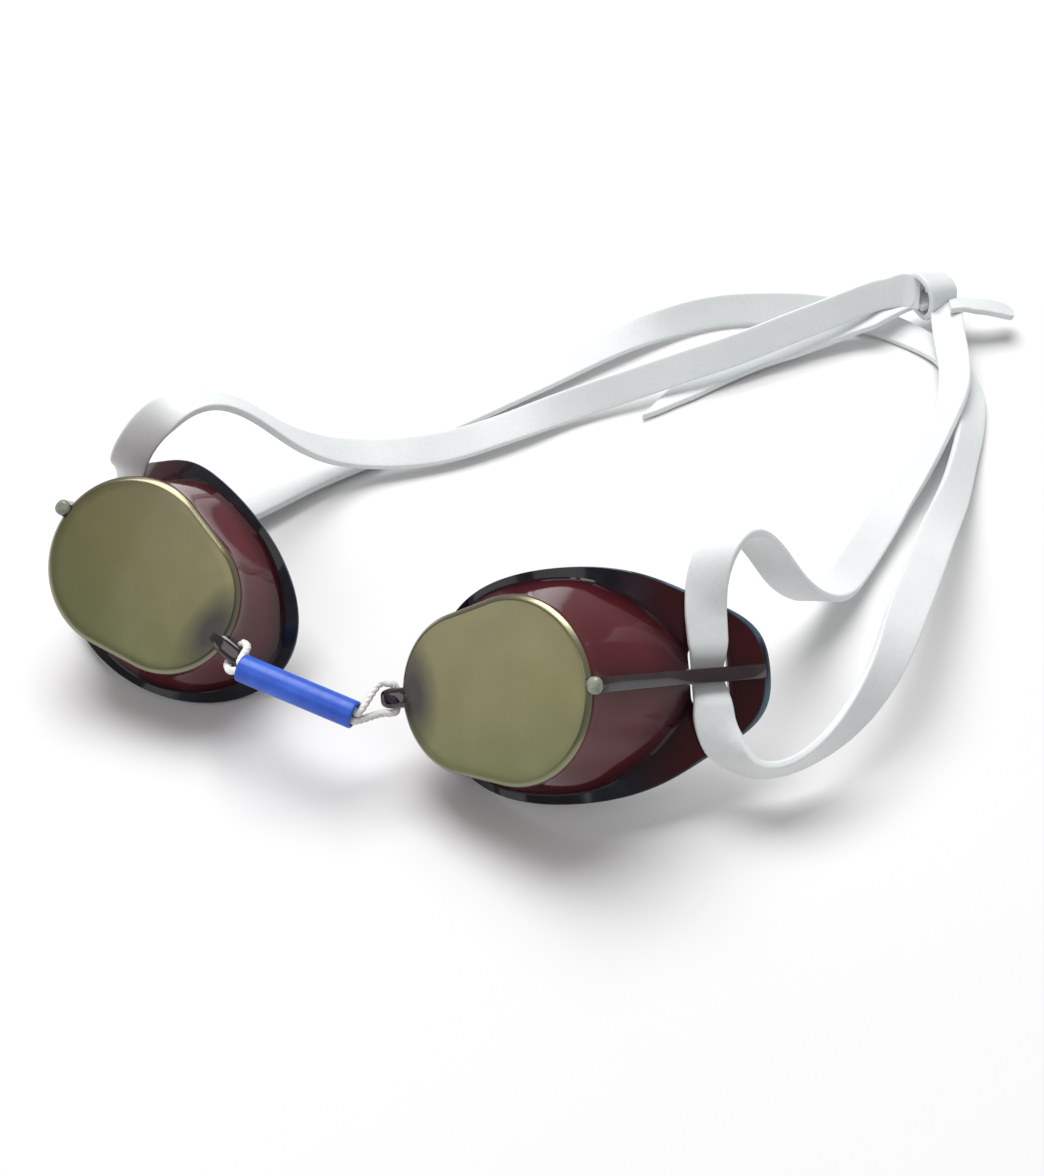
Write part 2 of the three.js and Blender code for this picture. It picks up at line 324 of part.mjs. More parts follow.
// ---- one eyecup, in its own frame: x to the temple, y up, z out of the lens ------------
function cupShell() {
  const oL = outlineLens(), oJ = outlineJunction(), oF = outlineFlange();
  const rings = [];
  const back = (x, t = FLANGE_T) => surf(x) - t * Math.hypot(1, slope(x));
  for (let i = 0; i < AROUND; i++) {
    const a = 2 * Math.PI * (i + 0.5) / AROUND, cx = Math.cos(a), cy = Math.sin(a);
    const rl = radius(oL, a), rj = radius(oJ, a), rf = radius(oF, a);
    const P = (r, z) => [C0[0] + r * cx, C0[1] + r * cy, z];
    const zj = surf(C0[0] + rj * cx);
    const col = [P(rl - 1.0, 0), P(rl, -0.9), P(rl, -1.8)];
    for (const f of [0.35, 0.7]) col.push(P(rl + (rj - rl) * Math.pow(f, 1.35), -1.8 + (zj + 1.8) * f));
    col.push(P(rj, zj));
    const rm = (rj + rf) / 2; col.push(P(rm, surf(C0[0] + rm * cx)));
    col.push(P(rf, surf(C0[0] + rf * cx)));
    col.push(P(rf, back(C0[0] + rf * cx, FLANGE_E)));
    col.push(P(rm, back(C0[0] + rm * cx, (FLANGE_T + FLANGE_E) / 2)));
    const ri = rj - WALL_T * 1.05, zi = back(C0[0] + ri * cx); col.push(P(ri, zi));
    const rli = rl - WALL_T, zt = -LENS_T - 1.0;
    for (const f of [0.7, 0.35]) col.push(P(rli + (ri - rli) * Math.pow(f, 1.35), zt + (zi - zt) * f));
    col.push(P(rli, zt)); col.push(P(rli - 1.0, -LENS_T));
    rings.push(col);
  }
  const K = rings[0].length, pts = rings.flat(), tris = [];
  pts.push([C0[0], 0, 0]); pts.push([C0[0], 0, -LENS_T]);
  const id = (i, k) => (i % AROUND) * K + k;
  for (let i = 0; i < AROUND; i++) {
    tris.push([pts.length - 2, id(i, 0), id(i + 1, 0)]);
    tris.push([pts.length - 1, id(i + 1, K - 1), id(i, K - 1)]);
    for (let k = 0; k < K - 1; k++) { tris.push([id(i, k), id(i, k + 1), id(i + 1, k)]); tris.push([id(i + 1, k), id(i, k + 1), id(i + 1, k + 1)]); }
  }
  return toManifold(geometry(pts, tris));
}
function slab(poly, half) {            // polygon in x-z, thickness along y
  const s = new THREE.Shape(poly.map(([x, z]) => new THREE.Vector2(x, z)));
  const g = new THREE.ExtrudeGeometry(s, { depth: 2 * half, bevelEnabled: false, steps: 1 });
  g.translate(0, 0, -half); g.rotateX(Math.PI / 2);    // shape y becomes z
  return toManifold(mergeVertices(new THREE.BufferGeometry().setAttribute('position', g.attributes.position), 1e-4));
}
function cup() {
  let m = cupShell();
  const sl = slope(SLOT_X), n = Math.hypot(1, sl);
  const u = new THREE.Vector3(1 / n, 0, sl / n), w = new THREE.Vector3(-sl / n, 0, 1 / n);
  const box = new RoundedBoxGeometry(2 * SLOT_U, 2 * SLOT_Y, 8, 2, 1.0);
  box.applyMatrix4(new THREE.Matrix4().makeBasis(u, new THREE.Vector3(0, 1, 0), w).setPosition(SLOT_X, 0, surf(SLOT_X)));
  m = m.subtract(toManifold(box));
  const rib = [[15.2, 0], [17.3, 0], [17.9, -0.9], [18.2, -6], [18.7, -12], [19.3, -18], [20.0, -22.5], [21.2, -25.6], [24.6, -29.0],
    [26.6, -31.4], [28.0, -34.6], [28.2, -36.4], [27.3, -36.3], [25.6, -34.5], [24.9, -32.7], [24.2, -31.8], [21.28, -28.87],
    [18.98, -26.75], [18.2, -25.2], [17.6, -20], [17.0, -12], [16.2, -6], [15.4, -2], [15.2, -1]];
  m = m.add(slab(rib, RIB_HALF));
  const lug = new RoundedBoxGeometry(LUG.l, LUG.h, LUG.d, 3, LUG.r); lug.translate(LUG.x, 0, LUG.z);
  m = m.add(toManifold(lug));
  const pin = new THREE.CylinderGeometry(LUG.hole, LUG.hole, 8, 20); pin.translate(LUG.holeX, 0, LUG.z);
  m = m.subtract(toManifold(pin));
  return m;
}
function placeCup(m, c) {
  const X = V(c.x), Y = V(c.y), Z = V(c.z);
  const g = fromManifold(m);
  g.applyMatrix4(new THREE.Matrix4().makeBasis(X, Y, Z).setPosition(...c.o));
  if (new THREE.Vector3().crossVectors(X, Y).dot(Z) < 0) { const a = g.index.array; for (let i = 0; i < a.length; i += 3) { const t = a[i]; a[i] = a[i + 1]; a[i + 1] = t; } }
  return g;
}
const onCup = (c, p) => V(c.o).addScaledVector(V(c.x), p[0]).addScaledVector(V(c.y), p[1]).addScaledVector(V(c.z), p[2]);
const oneCup = cup();
addMesh('left_eyecup', placeCup(oneCup, CUP_L), M_CUP);
addMesh('right_eyecup', placeCup(oneCup, CUP_R), M_CUP);

// ---- nose bridge: tube and the string running twice through it ---------------------------
const A = V(TUBE_A), B = V(TUBE_B), axis = B.clone().sub(A).normalize(), span = A.distanceTo(B);
{
  const p = [[TUBE_BORE, 0.3], [TUBE_BORE + 0.15, 0], [TUBE_R - 0.3, 0], [TUBE_R, 0.35], [TUBE_R, span - 0.35], [TUBE_R - 0.3, span], [TUBE_BORE + 0.15, span], [TUBE_BORE, span - 0.3], [TUBE_BORE, 0.3]];
  const g = new THREE.LatheGeometry(p.map(([r, y]) => new THREE.Vector2(r, y)), 28);
  g.applyQuaternion(new THREE.Quaternion().setFromUnitVectors(new THREE.Vector3(0, 1, 0), axis)); g.translate(A.x, A.y, A.z);
  addMesh('nose_tube', fromManifold(toManifold(g)), M_TUBE);
}
{
  const up = V(CUP_L.y).add(V(CUP_R.y)); up.addScaledVector(axis, -up.dot(axis)).normalize();
  const side = [];
  for (const s of [1, -1]) {
    const inL = A.clone().addScaledVector(axis, 0.8).addScaledVector(up, 0.84 * s), inR = B.clone().addScaledVector(axis, -0.8).addScaledVector(up, 0.84 * s);
    const outL = A.clone().addScaledVector(axis, -0.5).addScaledVector(up, 0.84 * s), outR = B.clone().addScaledVector(axis, 0.5).addScaledVector(up, 0.84 * s);
    const mid = A.clone().lerp(B, 0.5).addScaledVector(up, 0.86 * s);
    side.push({ inL, inR, outL, outR, mid,
      eR: [onCup(CUP_L, [-26.0, 1.2 * s, -1.6]), onCup(CUP_L, [-26.15, 2.35 * s, -1.6]), onCup(CUP_L, [-27.2, 3.0 * s, -1.2])],
      eL: [onCup(CUP_R, [-26.0, 1.2 * s, -1.6]), onCup(CUP_R, [-26.15, 2.35 * s, -1.6]), onCup(CUP_R, [-27.2, 3.0 * s, -1.2])] });
  }
  const [t, b] = side;
  const pts = [t.eR[0], t.eR[1], t.eR[2], t.outR, t.inR, t.mid, t.inL, t.outL, t.eL[2], t.eL[1], t.eL[0],
    b.eL[0], b.eL[1], b.eL[2], b.outL, b.inL, b.mid, b.inR, b.outR, b.eR[2], b.eR[1], b.eR[0]];
  const curve = new THREE.CatmullRomCurve3(pts, true, 'centripetal');
  const N = 78, R = 8, P = [], tris = [];
  let u0 = null;
  const T = (i) => curve.getTangentAt((i % N) / N);
  let n = new THREE.Vector3(0, 0, 1); n.addScaledVector(T(0), -n.dot(T(0))).normalize(); u0 = n.clone();
  const frames = [];
  for (let i = 0; i < N; i++) { const t1 = T(i); n.addScaledVector(t1, -n.dot(t1)).normalize(); frames.push(n.clone()); }
  const tEnd = T(0); const nEnd = n.clone().addScaledVector(tEnd, -n.dot(tEnd)).normalize();
  let twist = Math.atan2(new THREE.Vector3().crossVectors(nEnd, u0).dot(tEnd), nEnd.dot(u0));
  for (let i = 0; i < N; i++) {
    const c = curve.getPointAt(i / N), t1 = T(i), f = frames[i].clone().applyAxisAngle(t1, twist * i / N), g2 = new THREE.Vector3().crossVectors(t1, f);
    for (let k = 0; k < R; k++) { const a = 2 * Math.PI * k / R; P.push(c.clone().addScaledVector(f, STRING_R * Math.cos(a)).addScaledVector(g2, STRING_R * Math.sin(a)).toArray()); }
  }
  for (let i = 0; i < N; i++) for (let k = 0; k < R; k++) {
    const a = i * R + k, b2 = i * R + (k + 1) % R, c = ((i + 1) % N) * R + k, d = ((i + 1) % N) * R + (k + 1) % R;
    tris.push([a, b2, c], [b2, d, c]);
  }
  addMesh('nose_string', fromManifold(toManifold(geometry(P, tris))), M_STRING);
}

// ---- strap: rectangular band swept through the tables -------------------------------------
function band(rows) {
  const P = [], tris = [], n = rows.length;
  rows.forEach((r, i) => {
    const c = V(r), d = new THREE.Vector3(r[3], r[4], r[5]).normalize();
    let t;
    if (r.length > 7) t = new THREE.Vector3(r[7], r[8], r[9]);
    else t = V(rows[Math.min(n - 1, i + 1)]).sub(V(rows[Math.max(0, i - 1)]));
    const w = new THREE.Vector3().crossVectors(t, d).normalize();
    for (const [s, q] of [[1, 1], [1, -1], [-1, -1], [-1, 1]]) P.push(c.clone().addScaledVector(d, r[6] * s).addScaledVector(w, STRAP_T / 2 * q).toArray());
  });
  for (let i = 0; i < n - 1; i++) for (let k = 0; k < 4; k++) {
    const a = i * 4 + k, b = i * 4 + (k + 1) % 4, c = a + 4, d = b + 4; tris.push([a, b, c], [b, d, c]);
  }
  const e = (n - 1) * 4; tris.push([0, 3, 1], [1, 3, 2], [e, e + 1, e + 3], [e + 1, e + 2, e + 3]);
  let g = geometry(P, tris);
  const pos = g.attributes.position, ix = g.index.array; let vol = 0; const a = new THREE.Vector3(), b = new THREE.Vector3(), c = new THREE.Vector3();
  for (let i = 0; i < ix.length; i += 3) { a.fromBufferAttribute(pos, ix[i]); b.fromBufferAttribute(pos, ix[i + 1]); c.fromBufferAttribute(pos, ix[i + 2]); vol += a.dot(b.cross(c)); }
  if (vol < 0) for (let i = 0; i < ix.length; i += 3) { const t = ix[i]; ix[i] = ix[i + 1]; ix[i + 1] = t; }
  return g;
}
for (const [name, rows] of Object.entries(BANDS)) addMesh(name, band(rows), M_STRAP);

// ---- knot: the upper bands folded round each other ----------------------------------------
{
  const ex = new THREE.Vector3(0.92, 0.39, 0).normalize(), ey = new THREE.Vector3(-ex.y, ex.x, 0), ez = new THREE.Vector3(0, 0, 1);
  const at = (g, x, y, z) => { g.applyMatrix4(new THREE.Matrix4().makeBasis(ex, ey, ez).setPosition(V(KNOT).addScaledVector(ex, x).addScaledVector(ey, y).addScaledVector(ez, z))); return toManifold(g); };
  let k = at(new RoundedBoxGeometry(8.6, 9.4, 9.8, 3, 2.2), 0.2, 0, 0.2);
  k = k.add(at(new RoundedBoxGeometry(13.2, 6.4, 5.8, 3, 1.6), -1.2, -0.4, 0.4));
  addMesh('strap_knot', fromManifold(k), M_STRAP);
}

export default group;
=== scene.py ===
import bpy, bmesh, math
import numpy as np
from mathutils import Vector, Matrix


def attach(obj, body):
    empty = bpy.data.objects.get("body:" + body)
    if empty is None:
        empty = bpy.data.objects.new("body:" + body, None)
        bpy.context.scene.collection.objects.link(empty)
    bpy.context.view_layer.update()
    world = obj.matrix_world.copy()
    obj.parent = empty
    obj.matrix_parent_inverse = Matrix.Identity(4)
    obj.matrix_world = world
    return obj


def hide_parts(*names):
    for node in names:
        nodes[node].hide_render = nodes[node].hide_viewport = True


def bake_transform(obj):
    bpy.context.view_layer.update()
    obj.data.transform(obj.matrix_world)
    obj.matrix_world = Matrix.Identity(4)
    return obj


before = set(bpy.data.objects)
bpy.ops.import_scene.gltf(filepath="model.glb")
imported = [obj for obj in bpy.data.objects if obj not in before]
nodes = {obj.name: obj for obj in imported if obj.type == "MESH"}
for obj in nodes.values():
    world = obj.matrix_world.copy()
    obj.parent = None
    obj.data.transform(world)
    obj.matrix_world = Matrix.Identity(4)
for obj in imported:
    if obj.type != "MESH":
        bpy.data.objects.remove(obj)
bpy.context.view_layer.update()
scene = bpy.context.scene
MM = 0.001

# ------------------------------------------------------------------ camera
cam_data = bpy.data.cameras.new("camera")
cam = bpy.data.objects.new("camera", cam_data)
scene.collection.objects.link(cam)
cam.location = (-0.013065, -0.285755, 0.225385)
cam.rotation_euler = (math.radians(50.0), 0, 0)
cam_data.sensor_fit = "VERTICAL"
cam_data.sensor_height = 36.0
cam_data.lens = 53.262
cam_data.clip_start = 0.01
scene.camera = cam

# ------------------------------------------------------------------ data, millimetres
CUPS = {"left": {"X": [[0.804285, -0.395332, 0.443664], [-0.074133, 0.674021, 0.734983], [-0.589602, -0.624026, 0.512797]], "o": [-15.043332, -77.060871, 28.127642]}, "right": {"X": [[-0.759979, 0.560888, 0.328385], [0.614312, 0.454883, 0.64475], [-0.212255, -0.691727, 0.690262]], "o": [-84.254673, -42.505099, 27.125934]}}
TUBE = [[-62.206646, -61.74556, 19.306855], [-41.812712, -70.357834, 16.006596]]
CHAIN = np.array([[0.0, 89.063, 80.555, 7.831, -0.963, 0.078, -0.26, 3.615],
    [4.0, 88.894, 77.695, 7.503, -0.97, 0.094, -0.223, 3.696],
    [8.0, 88.553, 73.884, 7.152, -0.974, 0.117, -0.196, 3.7],
    [12.0, 88.137, 69.925, 6.862, -0.976, 0.107, -0.187, 3.7],
    [16.0, 87.827, 65.951, 6.574, -0.978, 0.075, -0.195, 3.7],
    [20.0, 87.588, 61.969, 6.28, -0.974, 0.079, -0.212, 3.697],
    [24.0, 87.266, 57.988, 6.026, -0.964, 0.109, -0.241, 3.65],
    [28.0, 86.783, 54.028, 5.837, -0.946, 0.152, -0.285, 3.603],
    [31.5, 86.17, 50.592, 5.728, -0.921, 0.201, -0.335, 3.6],
    [34.75, 85.427, 47.429, 5.659, -0.889, 0.238, -0.391, 3.6],
    [37.75, 84.62, 44.539, 5.609, -0.853, 0.262, -0.451, 3.6],
    [40.5, 83.792, 41.918, 5.571, -0.815, 0.279, -0.508, 3.6],
    [43.5, 82.797, 39.089, 5.533, -0.77, 0.292, -0.567, 3.6],
    [46.75, 81.63, 36.054, 5.487, -0.725, 0.299, -0.621, 3.6],
    [50.75, 80.101, 32.358, 5.411, -0.682, 0.309, -0.662, 3.6],
    [54.75, 78.468, 28.708, 5.311, -0.662, 0.329, -0.673, 3.6],
    [58.75, 76.719, 25.114, 5.187, -0.663, 0.362, -0.655, 3.6],
    [62.75, 74.855, 21.58, 5.018, -0.678, 0.407, -0.612, 3.6],
    [66.25, 73.139, 18.539, 4.803, -0.697, 0.451, -0.558, 3.6],
    [69.25, 71.61, 15.968, 4.581, -0.721, 0.482, -0.497, 3.6],
    [71.75, 70.298, 13.848, 4.404, -0.747, 0.503, -0.434, 3.6],
    [74.0, 69.09, 11.954, 4.273, -0.771, 0.52, -0.369, 3.6],
    [76.25, 67.867, 10.069, 4.169, -0.794, 0.531, -0.295, 3.6],
    [78.25, 66.783, 8.39, 4.094, -0.817, 0.531, -0.224, 3.6],
    [80.25, 65.722, 6.698, 4.028, -0.84, 0.521, -0.15, 3.6],
    [82.25, 64.696, 4.985, 3.969, -0.86, 0.505, -0.074, 3.608],
    [84.25, 63.705, 3.25, 3.916, -0.873, 0.488, -0.002, 3.631],
    [86.5, 62.62, 1.28, 3.866, -0.877, 0.476, 0.072, 3.666],
    [89.25, 61.309, -1.137, 3.827, -0.87, 0.471, 0.144, 3.696],
    [93.25, 59.389, -4.647, 3.807, -0.856, 0.472, 0.211, 3.7],
    [97.25, 57.45, -8.146, 3.814, -0.846, 0.473, 0.245, 3.7],
    [101.25, 55.498, -11.637, 3.858, -0.841, 0.477, 0.256, 3.7],
    [105.25, 53.546, -15.124, 3.99, -0.844, 0.483, 0.234, 3.698],
    [109.0, 51.741, -18.398, 4.253, -0.858, 0.485, 0.166, 3.669],
    [111.25, 50.674, -20.361, 4.496, -0.869, 0.486, 0.094, 3.642],
    [113.0, 49.841, -21.876, 4.741, -0.871, 0.491, 0.022, 3.617],
    [114.5, 49.113, -23.152, 5.004, -0.867, 0.496, -0.048, 3.604],
    [116.0, 48.361, -24.394, 5.329, -0.856, 0.502, -0.12, 3.6],
    [117.5, 47.579, -25.591, 5.727, -0.843, 0.504, -0.189, 3.6],
    [119.0, 46.766, -26.731, 6.21, -0.83, 0.5, -0.249, 3.6],
    [120.5, 45.928, -27.809, 6.782, -0.82, 0.489, -0.297, 3.6],
    [122.0, 45.076, -28.823, 7.445, -0.816, 0.473, -0.331, 3.6],
    [123.75, 44.077, -29.928, 8.328, -0.818, 0.451, -0.358, 3.6],
    [125.75, 42.944, -31.099, 9.462, -0.824, 0.425, -0.374, 3.6],
    [128.25, 41.563, -32.451, 11.03, -0.837, 0.391, -0.382, 3.6],
    [131.75, 39.728, -34.213, 13.424, -0.861, 0.339, -0.379, 3.6],
    [135.75, 37.804, -36.138, 16.349, -0.889, 0.278, -0.365, 3.6],
    [139.75, 36.068, -38.02, 19.418, -0.91, 0.227, -0.346, 3.6],
    [143.75, 34.471, -39.829, 22.606, -0.921, 0.203, -0.334, 3.6],
    [147.75, 32.907, -41.489, 25.887, -0.917, 0.214, -0.336, 3.6],
    [151.75, 31.3, -43.044, 29.2, -0.911, 0.237, -0.338, 3.6],
    [155.75, 29.642, -44.662, 32.459, -0.903, 0.275, -0.331, 3.6],
    [159.75, 27.895, -46.398, 35.608, -0.883, 0.336, -0.328, 3.6],
    [162.0, 26.832, -47.451, 37.265, -0.86, 0.379, -0.341, 3.6],
    [163.25, 26.199, -48.075, 38.11, -0.841, 0.407, -0.355, 3.6],
    [164.25, 25.665, -48.6, 38.724, -0.821, 0.435, -0.369, 3.6],
    [165.25, 25.105, -49.151, 39.269, -0.797, 0.468, -0.381, 3.6],
    [166.0, 24.669, -49.582, 39.623, -0.777, 0.497, -0.387, 3.6],
    [166.75, 24.219, -50.027, 39.922, -0.755, 0.529, -0.388, 3.6],
    [167.5, 23.759, -50.486, 40.161, -0.734, 0.562, -0.38, 3.6],
    [168.25, 23.292, -50.958, 40.336, -0.716, 0.596, -0.363, 3.6],
    [169.0, 22.823, -51.441, 40.442, -0.703, 0.626, -0.336, 3.6],
    [169.5, 22.511, -51.768, 40.474, -0.699, 0.644, -0.312, 3.6],
    [170.0, 22.203, -52.098, 40.474, -0.698, 0.657, -0.285, 3.6],
    [170.5, 21.9, -52.432, 40.442, -0.701, 0.666, -0.254, 3.6],
    [171.0, 21.604, -52.767, 40.379, -0.709, 0.67, -0.222, 3.6],
    [171.5, 21.315, -53.103, 40.285, -0.719, 0.668, -0.19, 3.6],
    [172.25, 20.902, -53.607, 40.087, -0.742, 0.656, -0.142, 3.6],
    [173.0, 20.515, -54.109, 39.825, -0.769, 0.632, -0.099, 3.6],
    [173.75, 20.158, -54.605, 39.503, -0.799, 0.598, -0.063, 3.6],
    [174.5, 19.834, -55.092, 39.127, -0.829, 0.558, -0.035, 3.6],
    [175.25, 19.543, -55.569, 38.701, -0.859, 0.512, -0.014, 3.6],
    [176.0, 19.287, -56.035, 38.233, -0.886, 0.463, -0.001, 3.6],
    [177.0, 18.996, -56.637, 37.553, -0.917, 0.399, 0.008, 3.6],
    [178.0, 18.758, -57.219, 36.821, -0.941, 0.338, 0.011, 3.6],
    [179.25, 18.53, -57.919, 35.848, -0.966, 0.259, -0.001, 3.6],
    [180.25, 18.412, -58.467, 35.041, -0.981, 0.192, -0.019, 3.6],
    [181.25, 18.343, -59.01, 34.216, -0.992, 0.123, -0.021, 3.6],
    [182.25, 18.309, -59.554, 33.381, -0.999, 0.049, -0.004, 3.6],
    [183.25, 18.293, -60.109, 32.549, -0.999, -0.02, 0.025, 3.6],
    [184.5, 18.293, -60.841, 31.541, -0.995, -0.087, 0.043, 3.6],
    [185.5, 18.343, -61.484, 30.781, -0.991, -0.135, 0.024, 3.6],
    [189.5, 18.634, -64.138, 27.8, -0.989, -0.144, 0.032, 3.486],
    [190.25, 18.681, -64.597, 27.208, -0.989, -0.144, 0.032, 3.384],
    [190.5, 18.694, -64.732, 27.003, -0.989, -0.144, 0.033, 3.347],
    [190.75, 18.704, -64.847, 26.791, -0.989, -0.143, 0.033, 3.308],
    [191.0, 18.71, -64.938, 26.569, -0.989, -0.144, 0.033, 3.27],
    [191.25, 18.712, -65.006, 26.338, -0.989, -0.144, 0.033, 3.232],
    [191.75, 18.709, -65.095, 25.851, -0.989, -0.144, 0.032, 3.158],
    [194.25, 18.684, -65.467, 23.368, -0.989, -0.144, 0.032, 2.831],
    [194.75, 18.69, -65.616, 22.904, -0.989, -0.143, 0.035, 2.785],
    [195.0, 18.697, -65.721, 22.688, -0.989, -0.142, 0.035, 2.767],
    [195.25, 18.708, -65.849, 22.483, -0.989, -0.143, 0.034, 2.752],
    [195.5, 18.723, -65.997, 22.287, -0.989, -0.144, 0.032, 2.741],
    [196.5, 18.799, -66.678, 21.533, -0.989, -0.145, 0.031, 2.732],
    [197.0, 18.84, -67.034, 21.184, -0.989, -0.144, 0.032, 2.749],
    [197.25, 18.863, -67.224, 21.035, -0.989, -0.143, 0.033, 2.764],
    [197.5, 18.888, -67.426, 20.908, -0.989, -0.143, 0.033, 2.781],
    [197.75, 18.915, -67.641, 20.802, -0.989, -0.143, 0.032, 2.802],
    [198.0, 18.945, -67.868, 20.714, -0.989, -0.144, 0.032, 2.826],
    [198.5, 19.01, -68.342, 20.572, -0.989, -0.144, 0.032, 2.881],
    [201.25, 19.376, -70.993, 19.942, -0.989, -0.143, 0.033, 3.262],
    [201.5, 19.403, -71.206, 19.837, -0.989, -0.143, 0.033, 3.301],
    [201.75, 19.428, -71.409, 19.708, -0.989, -0.143, 0.033, 3.339],
    [202.0, 19.451, -71.602, 19.559, -0.989, -0.144, 0.032, 3.377],
    [202.75, 19.515, -72.154, 19.055, -0.989, -0.144, 0.032, 3.48],
    [204.25, 19.641, -73.094, 18.091, -0.982, -0.185, -0.021, 3.552],
    [205.25, 19.789, -73.621, 17.49, -0.97, -0.221, -0.1, 3.553],
    [206.25, 20.0, -74.122, 16.874, -0.954, -0.235, -0.188, 3.555],
    [207.0, 20.2, -74.481, 16.404, -0.938, -0.23, -0.258, 3.557],
    [207.75, 20.432, -74.823, 15.932, -0.919, -0.212, -0.333, 3.559],
    [208.5, 20.696, -75.15, 15.459, -0.895, -0.178, -0.41, 3.561],
    [209.25, 20.991, -75.46, 14.989, -0.864, -0.13, -0.486, 3.564],
    [210.0, 21.314, -75.752, 14.523, -0.825, -0.068, -0.561, 3.567],
    [210.5, 21.545, -75.937, 14.217, -0.795, -0.021, -0.606, 3.569],
    [211.0, 21.788, -76.113, 13.915, -0.761, 0.03, -0.648, 3.571],
    [211.5, 22.042, -76.281, 13.617, -0.724, 0.084, -0.685, 3.573],
    [212.0, 22.307, -76.44, 13.326, -0.685, 0.137, -0.716, 3.575],
    [212.5, 22.583, -76.591, 13.041, -0.644, 0.189, -0.741, 3.577],
    [213.25, 23.016, -76.799, 12.627, -0.584, 0.262, -0.769, 3.58],
    [214.0, 23.471, -76.987, 12.232, -0.527, 0.324, -0.786, 3.583],
    [214.75, 23.945, -77.153, 11.859, -0.475, 0.375, -0.796, 3.586],
    [215.75, 24.607, -77.339, 11.399, -0.414, 0.424, -0.806, 3.59],
    [216.75, 25.3, -77.485, 10.989, -0.362, 0.455, -0.814, 3.593],
    [217.5, 25.837, -77.566, 10.718, -0.326, 0.468, -0.822, 3.595],
    [218.25, 26.388, -77.622, 10.48, -0.29, 0.474, -0.831, 3.597],
    [219.0, 26.951, -77.653, 10.279, -0.254, 0.477, -0.842, 3.598],
    [219.75, 27.525, -77.659, 10.117, -0.215, 0.477, -0.852, 3.599],
    [220.5, 28.109, -77.637, 9.997, -0.172, 0.478, -0.861, 3.6],
    [221.25, 28.739, -77.585, 9.916, -0.133, 0.481, -0.866, 3.6],
    [222.25, 29.687, -77.463, 9.856, -0.104, 0.485, -0.868, 3.6],
    [223.25, 30.632, -77.285, 9.853, -0.086, 0.482, -0.872, 3.6],
    [224.25, 31.568, -77.047, 9.898, -0.074, 0.471, -0.879, 3.6],
    [225.25, 32.489, -76.75, 9.982, -0.064, 0.454, -0.889, 3.6],
    [226.5, 33.616, -76.301, 10.131, -0.05, 0.427, -0.903, 3.6],
    [228.0, 34.931, -75.668, 10.359, -0.026, 0.39, -0.92, 3.6],
    [230.0, 36.625, -74.703, 10.728, 0.018, 0.34, -0.94, 3.6],
    [232.0, 38.254, -73.643, 11.157, 0.073, 0.289, -0.954, 3.6],
    [233.75, 39.628, -72.653, 11.573, 0.127, 0.24, -0.962, 3.6],
    [235.5, 40.947, -71.605, 12.017, 0.184, 0.187, -0.965, 3.6],
    [237.25, 42.21, -70.497, 12.479, 0.243, 0.132, -0.961, 3.6],
    [239.0, 43.418, -69.331, 12.952, 0.303, 0.079, -0.95, 3.6],
    [240.75, 44.574, -68.113, 13.427, 0.358, 0.029, -0.933, 3.6],
    [242.5, 45.682, -66.849, 13.896, 0.411, -0.018, -0.912, 3.6],
    [244.25, 46.742, -65.538, 14.349, 0.46, -0.063, -0.886, 3.6],
    [246.25, 47.894, -63.986, 14.842, 0.514, -0.107, -0.851, 3.6],
    [248.25, 48.988, -62.381, 15.307, 0.566, -0.146, -0.812, 3.6],
    [250.25, 50.029, -60.734, 15.741, 0.615, -0.183, -0.767, 3.6],
    [252.0, 50.899, -59.259, 16.089, 0.658, -0.215, -0.721, 3.6],
    [253.75, 51.728, -57.754, 16.4, 0.701, -0.245, -0.67, 3.6],
    [255.5, 52.518, -56.219, 16.671, 0.743, -0.27, -0.612, 3.6],
    [257.25, 53.268, -54.659, 16.904, 0.782, -0.289, -0.552, 3.602],
    [259.0, 53.982, -53.076, 17.098, 0.816, -0.304, -0.492, 3.616],
    [261.0, 54.765, -51.246, 17.271, 0.845, -0.321, -0.427, 3.654],
    [263.5, 55.718, -48.941, 17.404, 0.869, -0.343, -0.358, 3.694],
    [266.75, 56.954, -45.938, 17.445, 0.883, -0.368, -0.292, 3.7],
    [270.75, 58.489, -42.25, 17.326, 0.889, -0.386, -0.246, 3.7],
    [274.75, 60.027, -38.574, 17.016, 0.89, -0.395, -0.227, 3.7],
    [278.75, 61.539, -34.899, 16.555, 0.893, -0.393, -0.221, 3.7],
    [282.75, 63.011, -31.219, 16.013, 0.896, -0.387, -0.217, 3.7],
    [286.75, 64.447, -27.536, 15.402, 0.899, -0.384, -0.212, 3.7],
    [290.75, 65.856, -23.855, 14.725, 0.9, -0.382, -0.208, 3.7],
    [294.75, 67.253, -20.18, 13.984, 0.898, -0.387, -0.21, 3.7],
    [298.75, 68.674, -16.524, 13.201, 0.886, -0.402, -0.23, 3.699],
    [302.75, 70.144, -12.894, 12.388, 0.865, -0.419, -0.275, 3.67],
    [306.75, 71.64, -9.282, 11.542, 0.838, -0.428, -0.34, 3.62],
    [310.75, 73.119, -5.672, 10.655, 0.807, -0.43, -0.406, 3.6],
    [314.75, 74.569, -2.061, 9.723, 0.776, -0.429, -0.462, 3.6],
    [318.75, 75.987, 1.56, 8.782, 0.747, -0.418, -0.516, 3.6],
    [322.75, 77.357, 5.209, 7.897, 0.722, -0.395, -0.568, 3.6],
    [326.75, 78.671, 8.898, 7.092, 0.705, -0.37, -0.605, 3.6],
    [330.75, 79.94, 12.619, 6.355, 0.693, -0.352, -0.629, 3.6],
    [334.75, 81.189, 16.361, 5.687, 0.682, -0.336, -0.649, 3.6],
    [338.75, 82.435, 20.114, 5.089, 0.675, -0.323, -0.664, 3.6],
    [342.75, 83.67, 23.881, 4.552, 0.68, -0.311, -0.665, 3.6],
    [346.75, 84.88, 27.663, 4.06, 0.699, -0.301, -0.648, 3.6],
